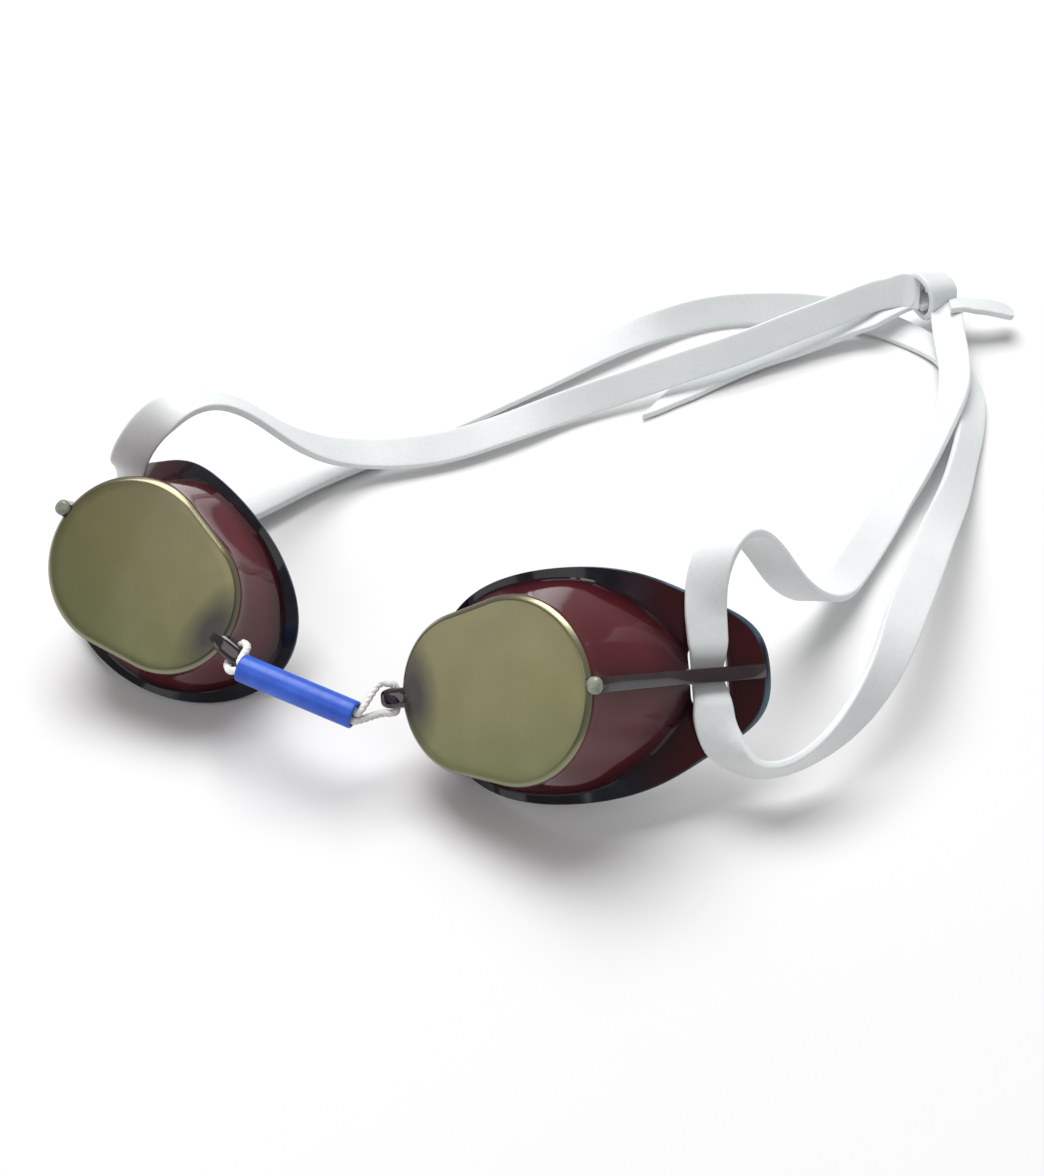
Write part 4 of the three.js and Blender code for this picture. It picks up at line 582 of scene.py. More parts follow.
# wine-tinted hard plastic of the eyecups
def mat_wine():
    k = NT("wine_polycarbonate"); b = k.b
    v = k.coords()
    at = k.n("ShaderNodeAttribute", attribute_name="zone")          # 0 wall, 1 flange, 1.6 rim
    big = k.noise(v, 70, 2)
    wall = k.ramp(big, [(0.3, (0.092, 0.011, 0.016)), (0.7, (0.125, 0.020, 0.026))])
    wing = k.ramp(k.noise(v, 90, 2), [(0.35, (0.034, 0.003, 0.005)), (0.7, (0.058, 0.005, 0.007))])
    ax_ = k.n("ShaderNodeAttribute", attribute_name="lx")
    wing = mixc(k, k.maprange(ax_.outputs["Fac"], 17.0, 9.0, 0.0, 1.0), wing, k.ramp(k.noise(v, 130, 3), [(0.4, (0.007, 0.006, 0.010)), (0.7, (0.020, 0.024, 0.034))]))
    deep = (0.014, 0.003, 0.006)
    # flange rim: near-black plastic, with noise-broken cyan patches that are a painted highlight
    rim_black_with_painted_highlight = k.ramp(k.noise(v, 110, 2), [(0.45, (0.010, 0.012, 0.018)), (0.66, (0.075, 0.150, 0.200))])
    f = at.outputs["Fac"]
    col = mixc(k, k.maprange(f, 0.0, 0.7, 0, 1), wall, deep)
    col = mixc(k, k.maprange(f, 0.78, 1.0, 0, 1), col, wing)
    rimf = k.maprange(f, 1.05, 1.5, 0, 1)
    col = mixc(k, rimf, col, rim_black_with_painted_highlight)
    k.l(col, b.inputs["Base Color"])
    r = k.maprange(k.noise(v, 900, 5), 0.3, 0.7, 0.05, 0.10); k.l(r, b.inputs["Roughness"])
    b.inputs["IOR"].default_value = 1.34
    b.inputs["Transmission Weight"].default_value = 0.12
    b.inputs["Coat Weight"].default_value = 0.0
    st = k.noise(k.coords((1, 1, 1)), 2600, 3); k.bump(st, 0.03, 0.00005)
    return k.m

def mat_dark():
    k = NT("dark_wine_polycarbonate"); b = k.b
    v = k.coords()
    c = k.ramp(k.noise(v, 300, 3), [(0.3, (0.008, 0.005, 0.007)), (0.7, (0.030, 0.010, 0.014))])
    k.l(c, b.inputs["Base Color"])
    k.l(k.maprange(k.noise(v, 1200, 4), 0.3, 0.7, 0.06, 0.14), b.inputs["Roughness"])
    b.inputs["Coat Weight"].default_value = 0.5
    b.inputs["Coat Roughness"].default_value = 0.03
    k.bump(k.noise(v, 2000, 3), 0.04, 0.00005)
    return k.m

def mat_nub():
    k = NT("gate_mark_plastic"); b = k.b
    v = k.coords()
    k.l(k.ramp(k.noise(v, 700, 4), [(0.3, (0.16, 0.18, 0.13)), (0.7, (0.30, 0.33, 0.25))]), b.inputs["Base Color"])
    k.l(k.maprange(k.noise(v, 1500, 4), 0.3, 0.7, 0.15, 0.35), b.inputs["Roughness"])
    k.bump(k.noise(v, 1500, 3), 0.1, 0.0001)
    return k.m

def mat_lens():
    k = NT("mirror_lens_coating"); b = k.b
    at = k.n("ShaderNodeAttribute", attribute_name="lx"); ay = k.n("ShaderNodeAttribute", attribute_name="ly"); az = k.n("ShaderNodeAttribute", attribute_name="lz")
    v = k.coords()
    # lens tint darker at low ly and lighter at high ly: a painted reflection gradient over the olive coating colour
    g = k.ramp(k.maprange(ay.outputs["Fac"], -16, 16, 0, 1), [(0.0, (0.118, 0.134, 0.056)), (0.5, (0.158, 0.150, 0.070)), (1.0, (0.180, 0.162, 0.086))])
    cloud = k.noise(v, 38, 2)
    col = mixc(k, k.maprange(cloud, 0.35, 0.7, 0.0, 0.45), g, (0.155, 0.150, 0.098))
    streak = k.noise(k.coords((1.0, 0.25, 1.0)), 210, 3)
    col = mixc(k, k.maprange(streak, 0.45, 0.75, 0.0, 0.16), col, (0.215, 0.190, 0.120))
    # dark patch on the nose side of the lens, with less metal there: a painted dark reflection
    dx = k.math("DIVIDE", k.math("ADD", at.outputs["Fac"], 20.6), 5.2); dy = k.math("DIVIDE", k.math("ADD", ay.outputs["Fac"], -0.6), 10.5)
    rr = k.math("SQRT", k.math("ADD", k.math("MULTIPLY", dx, dx), k.math("MULTIPLY", dy, dy)))
    nose_side_painted_dark_reflection = k.maprange(k.math("ADD", rr, k.math("MULTIPLY", k.noise(v, 160, 3), 0.35)), 1.25, 0.45, 0.0, 0.93)
    col = mixc(k, nose_side_painted_dark_reflection, col, (0.016, 0.013, 0.014))
    rim = k.maprange(az.outputs["Fac"], -0.06, -0.40, 0.0, 0.55)
    col = mixc(k, rim, col, (0.30, 0.30, 0.21))
    k.l(col, b.inputs["Base Color"])
    k.l(k.math("SUBTRACT", 0.88, k.math("MULTIPLY", nose_side_painted_dark_reflection, 0.5)), b.inputs["Metallic"])
    r = k.maprange(k.noise(v, 120, 3), 0.3, 0.7, 0.25, 0.32); k.l(r, b.inputs["Roughness"])
    b.inputs["Coat Weight"].default_value = 0.20
    b.inputs["Coat Roughness"].default_value = 0.05
    k.bump(k.noise(v, 350, 2), 0.015, 0.00004)
    return k.m

def mat_latex():
    k = NT("pale_latex"); b = k.b
    v = k.coords()
    m = k.noise(v, 70, 3)
    c = k.ramp(m, [(0.3, (0.735, 0.765, 0.775)), (0.7, (0.785, 0.81, 0.815))])
    sp = k.ramp(k.noise(v, 1400, 6, 0.65), [(0.30, (0.90, 0.90, 0.885)), (0.62, (1, 1, 1))])
    c = mixc(k, 0.6, c, sp, "MULTIPLY")
    k.l(c, b.inputs["Base Color"])
    k.l(k.maprange(k.noise(v, 500, 4), 0.3, 0.7, 0.42, 0.58), b.inputs["Roughness"])
    b.inputs["Subsurface Weight"].default_value = 0.12
    b.inputs["Subsurface Radius"].default_value = (1.0, 0.9, 0.8)
    b.inputs["Subsurface Scale"].default_value = 0.0012
    b.inputs["Sheen Weight"].default_value = 0.15
    h = k.math("ADD", k.noise(v, 2600, 4, 0.6), k.math("MULTIPLY", k.noise(v, 320, 3), 1.5))
    k.bump(h, 0.10, 0.00012)
    return k.m

def mat_tube():
    k = NT("blue_tubing"); b = k.b
    v = k.coords()
    c = k.ramp(k.noise(v, 160, 3), [(0.3, (0.012, 0.072, 0.50)), (0.7, (0.028, 0.125, 0.66))])
    k.l(c, b.inputs["Base Color"])
    k.l(k.maprange(k.noise(v, 900, 4), 0.3, 0.7, 0.30, 0.46), b.inputs["Roughness"])
    b.inputs["Subsurface Weight"].default_value = 0.08
    b.inputs["Subsurface Scale"].default_value = 0.001
    k.bump(k.noise(v, 1800, 4), 0.12, 0.0001)
    return k.m

def mat_string():
    k = NT("white_string"); b = k.b
    v = k.coords()
    c = k.ramp(k.noise(v, 2500, 4), [(0.3, (0.70, 0.69, 0.66)), (0.65, (0.90, 0.90, 0.88))])
    k.l(c, b.inputs["Base Color"])
    b.inputs["Roughness"].default_value = 0.75
    b.inputs["Sheen Weight"].default_value = 0.4
    k.bump(k.noise(v, 6000, 3), 0.4, 0.0001)
    return k.m

WINE, LENS, NUB, DARK, LATEX, BLUE, STRING = mat_wine(), mat_lens(), mat_nub(), mat_dark(), mat_latex(), mat_tube(), mat_string()

# ------------------------------------------------------------------ eyecup, in its own frame (mm)
R1, R2, D = 16.0, 13.883, 9.939
SURF = (15.386, 0.35742, 0.014219)
FX0, FF = 14.295, (22.3793, -12.4632, 5.7752, -2.101, 0.874, -0.622)
JUN = [(18.72, 0), (18.5, 2.7), (17.55, 6.1), (15.8, 9.1), (12.9, 12.5), (9.6, 15.2), (6.2, 17.2), (2.5, 18.25), (-5.8, 18.3), (-15, 16.2), (-23.2, 10.2), (-27.6, 0)]
C0 = (-2.0, 0.0)
surf = lambda x: -(SURF[0] + SURF[1] * x + SURF[2] * x * x)
slope = lambda x: -(SURF[1] + 2 * SURF[2] * x)

def radii(outline, ang):
    p = np.array(outline) - np.array(C0); a = np.unwrap(np.arctan2(p[:, 1], p[:, 0])); r = np.hypot(p[:, 0], p[:, 1])
    o = np.argsort(np.mod(a, 2 * np.pi)); a, r = np.mod(a, 2 * np.pi)[o], r[o]
    a = np.r_[a[-8:] - 2 * np.pi, a, a[:8] + 2 * np.pi]; r = np.r_[r[-8:], r, r[:8]]
    return np.interp(ang, a, r)

def catmull_closed(pts, n=40):
    P = np.array(pts, float); N = len(P); out = []
    for i in range(N):
        p0, p1, p2, p3 = P[(i - 1) % N], P[i], P[(i + 1) % N], P[(i + 2) % N]
        t0 = 0; t1 = t0 + np.linalg.norm(p1 - p0) ** 0.5; t2 = t1 + np.linalg.norm(p2 - p1) ** 0.5; t3 = t2 + np.linalg.norm(p3 - p2) ** 0.5
        for t in np.linspace(t1, t2, n, endpoint=False):
            A1 = (t1 - t) / (t1 - t0) * p0 + (t - t0) / (t1 - t0) * p1; A2 = (t2 - t) / (t2 - t1) * p1 + (t - t1) / (t2 - t1) * p2
            A3 = (t3 - t) / (t3 - t2) * p2 + (t - t2) / (t3 - t2) * p3
            B1 = (t2 - t) / (t2 - t0) * A1 + (t - t0) / (t2 - t0) * A2; B2 = (t3 - t) / (t3 - t1) * A2 + (t - t1) / (t3 - t1) * A3
            out.append((t2 - t) / (t2 - t1) * B1 + (t - t1) / (t2 - t1) * B2)
    return np.array(out)

def cup_mesh(name):
    A = 288
    ang = 2 * np.pi * (np.arange(A) + 0.5) / A
    t = math.acos(-(R1 - R2) / D)
    oL = [(R1 * math.cos(a), R1 * math.sin(a)) for a in np.linspace(-t, t, 900)] + [(-D + R2 * math.cos(a), R2 * math.sin(a)) for a in np.linspace(t, 2 * math.pi - t, 700)[1:-1]]
    # the two straight sides between the arcs
    oL += [tuple(np.array((R1 * math.cos(t), R1 * math.sin(t))) * (1 - f) + np.array((-D + R2 * math.cos(t), R2 * math.sin(t))) * f) for f in np.linspace(0, 1, 120)[1:-1]]
    oL += [tuple(np.array((R1 * math.cos(t), -R1 * math.sin(t))) * (1 - f) + np.array((-D + R2 * math.cos(t), -R2 * math.sin(t))) * f) for f in np.linspace(0, 1, 120)[1:-1]]
    th = np.linspace(0, 2 * np.pi, 1440, endpoint=False); r = sum(c * np.cos(k * th) for k, c in enumerate(FF))
    oF = np.c_[FX0 + r * np.cos(th), r * np.sin(th)]
    oJ = catmull_closed(JUN + [(x, -y) for x, y in JUN[1:-1][::-1]])
    rl, rj, rf = radii(oL, ang), radii(oJ, ang), radii(oF, ang)
    ca, sa = np.cos(ang), np.sin(ang)
    X = lambda r_: C0[0] + r_ * ca
    rows, zone, kind = [], [], []            # ring positions, flange zone value, 0 lens 1 wine
    def add(r_, z_, zn, kd):
        rows.append(np.c_[X(r_), C0[1] + r_ * sa, z_ * np.ones(A)]); zone.append(zn); kind.append(kd)
    back = lambda x, tt: surf(x) - tt * np.hypot(1, slope(x))
    for f in (0.25, 0.5, 0.75, 0.9):
        add((rl - 1.0) * f, 0.0, 0, 0)
    add(rl - 1.12, 0.0, 0, 0); add(rl - 0.98, -0.02, 0, 0)
    add(rl - 0.55, -0.34, 0, 0); add(rl - 0.14, -0.72, 0, 0); add(rl - 0.03, -0.86, 0, 1); add(rl, -1.05, 0, 1); add(rl, -1.8, 0, 1)
    zj = surf(X(rj))
    for f in np.linspace(0.07, 0.93, 14):
        add(rl + (rj - rl) * f ** 1.35, -1.8 + (zj + 1.8) * f, 0.0 if f < 0.6 else (f - 0.6) / 0.4 * 0.6, 1)
    # a small fillet into the flange
    add(rl + (rj - rl) * 0.985 ** 1.35 + 0.04, -1.8 + (zj + 1.8) * 0.985, 0.7, 1)
    add(rj + 0.28, surf(X(rj + 0.28)) + 0.10, 0.8, 1)
    for f in (0.14, 0.3, 0.45, 0.6, 0.75, 0.88, 0.95):
        rr = rj + (rf - rj) * f; add(rr, surf(X(rr)), 1.0, 1)
    te = 0.9
    add(rf - 0.22, surf(X(rf - 0.22)) - 0.01, 1.5, 1); add(rf - 0.06, surf(X(rf)) - 0.12, 1.6, 1); add(rf, surf(X(rf)) - 0.4, 1.6, 1)
    add(rf - 0.02, back(X(rf), te) + 0.25, 1.6, 1); add(rf - 0.2, back(X(rf - 0.2), te) + 0.02, 1.5, 1)
    for f in (0.85, 0.65, 0.45, 0.25, 0.1):
        rr = rj + (rf - rj) * f; add(rr, back(X(rr), te + (1.5 - te) * (1 - f)), 1, 1)
    ri = rj - 1.68; zi = back(X(ri), 1.5)
    add(ri + 0.5, back(X(ri + 0.5), 1.5), 0.9, 1); add(ri + 0.05, zi + 0.12, 0.8, 1)
    rli = rl - 1.6; zt = -3.0
    for f in np.linspace(0.96, 0.05, 12):
        add(rli + (ri - rli) * f ** 1.35, zt + (zi - zt) * f, 0.4 if f > 0.7 else 0.0, 1)
    add(rli, zt, 0, 1); add(rli - 0.25, -2.4, 0, 1); add(rli - 0.9, -2.02, 0, 1)
    for f in (0.85, 0.5):
        add((rli - 1.0) * f, -2.0, 0, 1)
    K = len(rows)
    verts = np.concatenate(rows); zv = np.repeat(zone, A)
    faces, mi = [], []
    for k in range(K - 1):
        for i in range(A):
            j = (i + 1) % A
            faces.append((k * A + i, (k + 1) * A + i, (k + 1) * A + j, k * A + j)); mi.append(1 if kind[k + 1] == 0 else 0)
    c1, c2 = len(verts), len(verts) + 1
    verts = np.vstack([verts, [[C0[0], 0, 0], [C0[0], 0, -2.0]]]); zv = np.r_[zv, 0, 0]
    for i in range(A):
        j = (i + 1) % A
        faces.append((c1, i, j)); mi.append(1)
        faces.append((c2, (K - 1) * A + j, (K - 1) * A + i)); mi.append(0)
    ob = make(name, verts, faces, [WINE, LENS], mi, True, None)
    at = ob.data.attributes.new("zone", "FLOAT", "POINT"); at.data.foreach_set("value", zv.astype(np.float32))
    return ob

def slab(name, poly, half, bevel):
    """a flat plate in the x-z plane, rounded along its long edges"""
    P = np.array(poly, float); n = len(P); c = P.mean(0)
    d = np.roll(P, -1, 0) - np.roll(P, 1, 0); nrm = norm(np.c_[d[:, 1], -d[:, 0]])
    area = 0.5 * np.sum(P[:, 0] * np.roll(P[:, 1], -1) - np.roll(P[:, 0], -1) * P[:, 1])
    if area < 0: nrm = -nrm
    rings = []
    for y, off in ((-half, bevel), (-half + bevel * 0.3, bevel * 0.3), (-half + bevel, 0), (0, -0.10), (half - bevel, 0), (half - bevel * 0.3, bevel * 0.3), (half, bevel)):
        Q = P - nrm * off; rings.append(np.c_[Q[:, 0], np.full(n, y), Q[:, 1]])
    V = np.concatenate(rings); F = []
    for k in range(len(rings) - 1):
        for i in range(n):
            j = (i + 1) % n; F.append((k * n + i, k * n + j, (k + 1) * n + j, (k + 1) * n + i))
    F.append(tuple(range(n))[::-1]); F.append(tuple(range((len(rings) - 1) * n, len(rings) * n)))
    return make(name, V, F, [DARK], None, True)

def superell(name, c, half, e, axes=None, nu=48, nv=32, mat=None):
    """rounded block: superellipsoid"""
    V, F = [], []
    for j in range(nv + 1):
        v = -math.pi / 2 + math.pi * j / nv
        for i in range(nu):
            u = 2 * math.pi * i / nu
            s = lambda a, p: math.copysign(abs(a) ** p, a)
            V.append([half[0] * s(math.cos(v), e) * s(math.cos(u), e), half[1] * s(math.cos(v), e) * s(math.sin(u), e), half[2] * s(math.sin(v), e)])
    V = np.array(V)
    if axes is not None: V = V @ np.array(axes)
    V = V + np.array(c)
    for j in range(nv):
        for i in range(nu):
            k = (i + 1) % nu; F.append((j * nu + i, j * nu + k, (j + 1) * nu + k, (j + 1) * nu + i))
    ob = make(name, V, F, [mat or DARK], None, True)
    bm = bmesh.new(); bm.from_mesh(ob.data); bmesh.ops.remove_doubles(bm, verts=bm.verts, dist=1e-7); bmesh.ops.recalc_face_normals(bm, faces=bm.faces)
    for f in bm.faces: f.smooth = True
    bm.to_mesh(ob.data); bm.free()
    return ob

def smooth_poly(P, n=6):
    """keeps the corners of an open polyline soft: centripetal spline through it"""
    return catmull_closed(P, n)

def cup_object(name, c, mirrored):
    ob = cup_mesh(name)
    sl = slope(20.9); nn = math.hypot(1, sl); u = np.array([1 / nn, 0, sl / nn]); w = np.array([-sl / nn, 0, 1 / nn])
    win = superell("window", (20.9, 0, surf(20.9)), (3.42, 4.7, 4.4), 0.22, axes=[u, [0, 1, 0], w], mat=WINE)
    boolean(ob, win, "DIFFERENCE")
    rib = [(15.2, 0.0), (16.3, 0.10), (17.2, 0.02), (17.75, -0.7), (18.0, -2.5), (18.2, -6), (18.45, -9), (18.7, -12), (19.0, -15), (19.3, -18), (19.62, -20.5), (20.1, -22.8), (21.2, -25.6), (22.8, -27.35), (24.6, -29.0), (26.0, -30.5), (26.9, -31.9), (27.6, -33.5), (28.0, -34.8), (28.15, -36.1),
           (27.3, -36.3), (25.6, -34.5), (24.9, -32.7), (24.2, -31.8), (22.7, -30.3), (21.28, -28.87), (20.1, -27.8), (18.98, -26.75), (18.2, -25.2), (17.9, -22.5), (17.6, -20), (17.3, -16), (17.0, -12), (16.6, -9), (16.2, -6), (15.4, -2), (15.2, -1)]
    boolean(ob, slab("rib", rib, 1.3, 0.35), "UNION")
    boolean(ob, superell("nub", (16.7, 0, -0.25), (1.35, 1.45, 0.95), 0.85, mat=NUB), "UNION")
    boolean(ob, superell("lug", (-25.1, 0, -1.6), (3.7, 1.85, 1.9), 0.6), "UNION")
    V = []; n = 32
    for s in (-4, 4):
        for i in range(n): V.append([-26.0 + math.cos(2 * math.pi * i / n), s, -1.6 + math.sin(2 * math.pi * i / n)])
    F = [(i, (i + 1) % n, n + (i + 1) % n, n + i) for i in range(n)] + [tuple(range(n))[::-1], tuple(range(n, 2 * n))]
    boolean(ob, make("hole", V, F, [DARK]), "DIFFERENCE")
    # place it
    me = ob.data
    co = np.zeros(len(me.vertices) * 3); me.vertices.foreach_get("co", co); co = co.reshape(-1, 3) / MM
    for nme, col in (("lx", 0), ("ly", 1), ("lz", 2)):
        a = me.attributes.new(nme, "FLOAT", "POINT"); a.data.foreach_set("value", co[:, col].astype(np.float32))
    W = co @ np.array(c["X"]) + np.array(c["o"])
    me.vertices.foreach_set("co", (W * MM).ravel()); me.update()
    if mirrored: me.flip_normals()
    resharp(ob, 32)
    return ob

cups = {}
for side, mir in (("left", False), ("right", True)):
    ob = cup_object(side + "_eyecup_moulding", CUPS[side], mir)
    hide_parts(side + "_eyecup"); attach(ob, side + "_cup"); cups[side] = ob

# ------------------------------------------------------------------ strap
S = CHAIN[:, 0]
def chain(s):
    """position, width direction and half width at arc length s, smooth between the table's rows"""
    s = np.atleast_1d(s); i = np.clip(np.searchsorted(S, s) - 1, 1, len(S) - 3); f = ((s - S[i]) / (S[i + 1] - S[i]))[:, None]
    p0, p1, p2, p3 = CHAIN[i - 1, 1:], CHAIN[i, 1:], CHAIN[i + 1, 1:], CHAIN[i + 2, 1:]
    return 0.5 * (2 * p1 + (p2 - p0) * f + (2 * p0 - 5 * p1 + 4 * p2 - p3) * f ** 2 + (3 * p1 - p0 - 3 * p2 + p3) * f ** 3)

SECT = []
def section(hw, t=0.75, n=6, crown=0.0):
    """rounded rectangle outline: (across, through), counter-clockwise"""
    r = 0.42; out = []
    for cx, cy, a0 in ((hw - r, t - r, 0), (-hw + r, t - r, 90), (-hw + r, -t + r, 180), (hw - r, -t + r, 270)):
        for k in range(n):
            a = math.radians(a0 + 90 * k / (n - 1)); out.append((cx + r * math.cos(a), cy + r * math.sin(a)))
        if a0 in (0, 180):
            sgn = 1 if a0 == 0 else -1
            for f in (0.8, 0.55, 0.3, 0.0, -0.3, -0.55, -0.8):
                out.append((sgn * f * (hw - r), sgn * t))
    return np.array(out)

def sweep(name, C, Dv, HW, caps=(True, True), curl=None, thick=None, T=None, oblique=False):
    T = norm(np.gradient(C, axis=0)) if T is None else norm(T)
    Dv = norm(Dv if oblique else Dv - (Dv * T).sum(1)[:, None] * T); N = norm(np.cross(T, Dv))
    V, F = [], []
    for i in range(len(C)):
        th = 0.75 if thick is None else thick[i]
        sec = section(HW[i], th)
        bend = 0 if curl is None else curl[i]
        x = sec[:, 0]; y = sec[:, 1] + bend * (x / HW[i]) ** 2 - bend * 0.4
        V.append(C[i] + np.outer(x, Dv[i]) + np.outer(y, N[i]))
    n = len(sec); V = np.concatenate(V)
    for i in range(len(C) - 1):
        for k in range(n):
            j = (k + 1) % n; F.append((i * n + k, i * n + j, (i + 1) * n + j, (i + 1) * n + k))
    if caps[0]: F.append(tuple(range(n))[::-1])
    if caps[1]: F.append(tuple(range((len(C) - 1) * n, len(C) * n)))
    return make(name, V, F, [LATEX], None, True, 50)

def strap_piece(name, s0, s1, replaces, how, caps=(False, False)):
    n = max(8, int((s1 - s0) / 0.8)); s = np.linspace(s0, s1, n); q = chain(s)
    # soft rolled section where the band is pinched by the bar: narrower and thicker
    hw = q[:, 6]; th = 0.75 + np.clip(3.6 - hw, 0, 1) * 0.28
    lo, hi = np.clip(s - 0.3, S[0], S[-1]), np.clip(s + 0.3, S[0], S[-1])
    ob = sweep(name, q[:, :3], q[:, 3:6], hw, caps, None, th, chain(hi)[:, :3] - chain(lo)[:, :3])
    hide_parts(replaces)
    if isinstance(how, str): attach(ob, how)
    else:
        a, b, flip = how
        p, e = q[0, :3] * MM, q[-1, :3] * MM
        if flip: p, e = e, p
        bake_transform(ob)
    return ob

c = CUTS; ROOT = "bridge_and_strap"
strap_piece("strap_band_upper_left_rear", *c["ru_rear"], "strap_upper_left_rear", ROOT, (True, False))
strap_piece("strap_band_upper_left", *c["ru_run"], "strap_upper_left_run", (ROOT, "left_cup", False))
strap_piece("strap_band_left_turn", *c["wrapR"], "strap_turn_left_eyecup", "left_cup")
strap_piece("strap_band_lower_left", *c["rl_run"], "strap_lower_left_run", (ROOT, "left_cup", True))
strap_piece("strap_band_rear", *c["rear"], "strap_lower_rear", ROOT)
strap_piece("strap_band_lower_right", *c["ll_run"], "strap_lower_right_run", (ROOT, "right_cup", False))
strap_piece("strap_band_right_turn", *c["wrapL"], "strap_turn_right_eyecup", "right_cup")
strap_piece("strap_band_upper_right", *c["lu_run"], "strap_upper_right_run", (ROOT, "right_cup", True))
strap_piece("strap_band_upper_right_rear", *c["lu_rear"], "strap_upper_right_rear", ROOT, (False, True))

def spline(P, m):
    P = np.array(P, float); P = np.vstack([2 * P[0] - P[1], P, 2 * P[-1] - P[-2]]); out = []
    for i in range(1, len(P) - 2):
        for f in np.linspace(0, 1, m, endpoint=False):
            p0, p1, p2, p3 = P[i - 1], P[i], P[i + 1], P[i + 2]
            out.append(0.5 * (2 * p1 + (p2 - p0) * f + (2 * p0 - 5 * p1 + 4 * p2 - p3) * f ** 2 + (3 * p1 - p0 - 3 * p2 + p3) * f ** 3))
    out.append(P[-2]); return np.array(out)

for nm, tab, node in (("strap_band_tail_long", TAIL_LONG, "strap_tail_long"), ("strap_band_tail_short", TAIL_SHORT, "strap_tail_short")):
    q = spline(tab, 8); ob = sweep(nm, q[:, :3], q[:, 3:6], q[:, 6], (True, True), oblique=True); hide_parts(node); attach(ob, ROOT)

# ------------------------------------------------------------------ knot
KN = np.array([86.785, 83.595, 8.69])
ex = norm(np.array([0.92, 0.39, 0.0])); ey = np.array([-ex[1], ex[0], 0.0]); ez = np.array([0, 0, 1.0])
K = lambda a, b, z: KN + ex * a + ey * b + ez * z
kp = []
# the wrap: one turn of band round the bundle, wider and higher on the side where the band comes in
th = np.linspace(-0.62 * math.pi, 1.42 * math.pi, 96)
C, Dk, HWk = [], [], []
for t in th:
    ct, st_ = math.cos(t), math.sin(t); e = 2 / 2.7
    cy, cz = math.copysign(abs(ct) ** e, ct), math.copysign(abs(st_) ** e, st_)
    top = max(0.0, st_)
    C.append(K(0.1 - 0.55 * top - 0.25 * max(0, -ct), -3.95 * cy, 0.1 + 4.15 * cz - 0.25 * cy)); rad = norm(ey * -cy + ez * cz)
    Dk.append(norm(ex - rad * (0.13 + 0.12 * top) + ey * 0.10)); HWk.append(4.25 + 0.35 * top - 0.3 * max(0, -st_))
kp.append(sweep("knot_wrap", np.array(C), np.array(Dk), np.array(HWk), (True, True)))
# the tucked end of the turn, folded back inside it
path = spline([K(-2.6, 1.2, 2.7), K(-0.6, 1.0, 2.5), K(1.5, 0.8, 2.0), K(3.8, 0.6, 1.5), K(5.4, 0.4, 0.9)], 8)
kp.append(sweep("knot_core_upper", path, np.tile(norm(ey * 0.95 + ez * 0.25), (len(path), 1)), np.linspace(2.6, 2.5, len(path)), (True, True)))
path = spline([K(-4.4, 0.3, -1.6), K(-2.5, 0.2, -1.3), K(0.0, 0.0, -1.1), K(2.5, 0.0, -1.2), K(4.9, 0.0, -1.6)], 8)
kp.append(sweep("knot_core_lower", path, np.tile(norm(ey * 0.98 + ez * 0.1), (len(path), 1)), np.linspace(3.0, 2.6, len(path)), (True, True)))
for i, ob in enumerate(kp):
    if i == 0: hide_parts("strap_knot")
    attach(ob, ROOT)

# ------------------------------------------------------------------ nose tube and string
A, B = np.array(TUBE[0]), np.array(TUBE[1]); ax = norm(B - A); L = np.linalg.norm(B - A)
side_v = norm(np.cross(ax, [0, 0, 1])); up_v = np.cross(side_v, ax)
prof = [(1.95, 0.45), (2.0, 0.12), (2.12, 0.0), (2.28, 0.0), (2.43, 0.08), (2.5, 0.28)]
prof = prof + [(2.5, y) for y in np.linspace(0.8, L - 0.8, 24)] + [(r, L - y) for r, y in prof[::-1]]
inner = [(1.95, y) for y in np.linspace(L - 1.5, 1.5, 10)]
pr = prof + inner; n = 64; V = []
for r, y in pr:
    for i in range(n):
        a = 2 * math.pi * i / n; V.append(A + ax * y + (side_v * math.cos(a) + up_v * math.sin(a)) * r)
F = []
for k in range(len(pr)):
    k2 = (k + 1) % len(pr)
    for i in range(n):
        j = (i + 1) % n; F.append((k * n + i, k * n + j, k2 * n + j, k2 * n + i))
tube = make("nose_tube_sleeve", V, F, [BLUE], None, True, 60)
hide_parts("nose_tube"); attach(tube, "nose_tube")

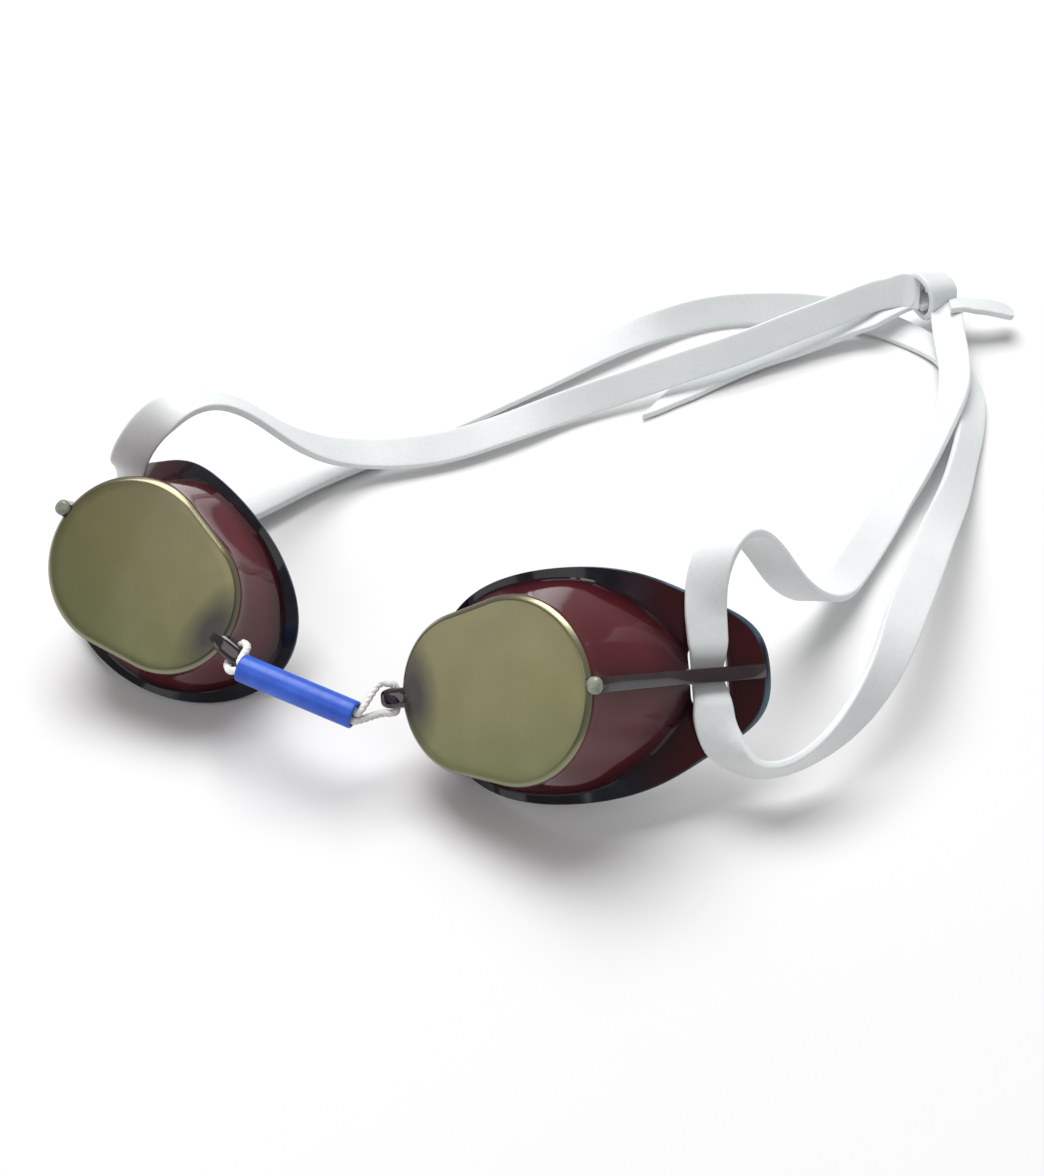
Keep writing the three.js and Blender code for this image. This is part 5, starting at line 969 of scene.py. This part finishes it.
def on(c_, p): return np.array(p) @ np.array(c_["X"]) + np.array(c_["o"])
up = norm(np.array(CUPS["left"]["X"][1]) + np.array(CUPS["right"]["X"][1])); up = norm(up - ax * up.dot(ax))
def string_half(side, base, sgn):
    """one closed-ended half of the loop: from the middle of the tube, round the lug and back"""
    cc = CUPS[side]; mid = (A + B) / 2
    def leg(s): return [mid + up * 0.84 * s, base - ax * sgn * 4 + up * 0.84 * s, base - ax * sgn * 0.8 + up * 0.84 * s, base + ax * sgn * 0.5 + up * 0.84 * s, on(cc, [-28.0, 2.5 * s, 0.6]), on(cc, [-26.6, 2.55 * s, -1.0]), on(cc, [-26.05, 2.1 * s, -1.6]), on(cc, [-26.0, 1.0 * s, -1.6])]
    P = leg(1) + leg(-1)[::-1]
    P = spline(P, 14)
    # even spacing
    d = np.r_[0, np.cumsum(np.linalg.norm(np.diff(P, axis=0), axis=1))]; s = np.arange(0, d[-1], 0.14); P = np.c_[[np.interp(s, d, P[:, k]) for k in range(3)]].T
    T = norm(np.gradient(P, axis=0)); nrm0 = norm(np.cross(T[0], [0.3, 0.2, 1])); N = []
    for t_ in T:
        nrm0 = norm(nrm0 - t_ * nrm0.dot(t_)); N.append(nrm0)
    N = np.array(N); Bn = np.cross(T, N); m = 27; V = []
    for i in range(len(P)):
        tw = 2 * math.pi * i * 0.14 / 3.4
        for k in range(m):
            a = 2 * math.pi * k / m; r = 0.56 + 0.14 * abs(math.cos(1.5 * a)) ** 0.7
            V.append(P[i] + (N[i] * math.cos(a + tw) + Bn[i] * math.sin(a + tw)) * r)
    F = []
    for i in range(len(P) - 1):
        for k in range(m):
            j = (k + 1) % m; F.append((i * m + k, i * m + j, (i + 1) * m + j, (i + 1) * m + k))
    F.append(tuple(range(m))[::-1]); F.append(tuple(range((len(P) - 1) * m, len(P) * m)))
    ob = make("nose_string_" + side, V, F, [STRING], None, True, 60)
    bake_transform(ob)
    return ob
sl_ = string_half("left", B, 1); sr_ = string_half("right", A, -1)
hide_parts("nose_string")

# ------------------------------------------------------------------ stage
def plane(name, s, z, mat):
    me = bpy.data.meshes.new(name); me.from_pydata([(-s, -s, z), (s, -s, z), (s, s, z), (-s, s, z)], [], [(0, 1, 2, 3)]); me.materials.append(mat)
    o = bpy.data.objects.new(name, me); scene.collection.objects.link(o); return o
fm = NT("pale_floor"); fm.b.inputs["Base Color"].default_value = (0.80, 0.80, 0.80, 1); fm.b.inputs["Roughness"].default_value = 0.9
fm.b.inputs["Specular IOR Level"].default_value = 0.1
floor = plane("floor", 6.0, 0.0, fm.m)

world = bpy.data.worlds.new("studio"); scene.world = world; world.use_nodes = True
wt = world.node_tree; bg = wt.nodes["Background"]; bg.inputs["Color"].default_value = (1, 1, 1, 1); bg.inputs["Strength"].default_value = 0.36
scene.view_settings.view_transform = "Standard"
scene.view_settings.look = "None"

def area(name, loc, target, size, power, color=(1, 1, 1), sy=None):
    d = bpy.data.lights.new(name, "AREA"); d.energy = power; d.size = size; d.color = color
    if sy: d.shape = "RECTANGLE"; d.size_y = sy
    o = bpy.data.objects.new(name, d); scene.collection.objects.link(o); o.location = loc
    o.rotation_euler = (Vector(target) - Vector(loc)).to_track_quat("-Z", "Y").to_euler(); return o
area("overhead", (-0.15, 0.35, 1.0), (0.0, 0.02, 0.0), 0.8, 12.8)
area("left_card", (-0.95, -0.30, 0.24), (-0.02, -0.08, 0.02), 0.55, 0.95, (1, 0.99, 0.96), 0.40)
area("front_card", (-0.47, -0.60, 0.68), (-0.08, -0.05, 0.02), 0.42, 0.85, (1, 0.99, 0.97), 0.42)

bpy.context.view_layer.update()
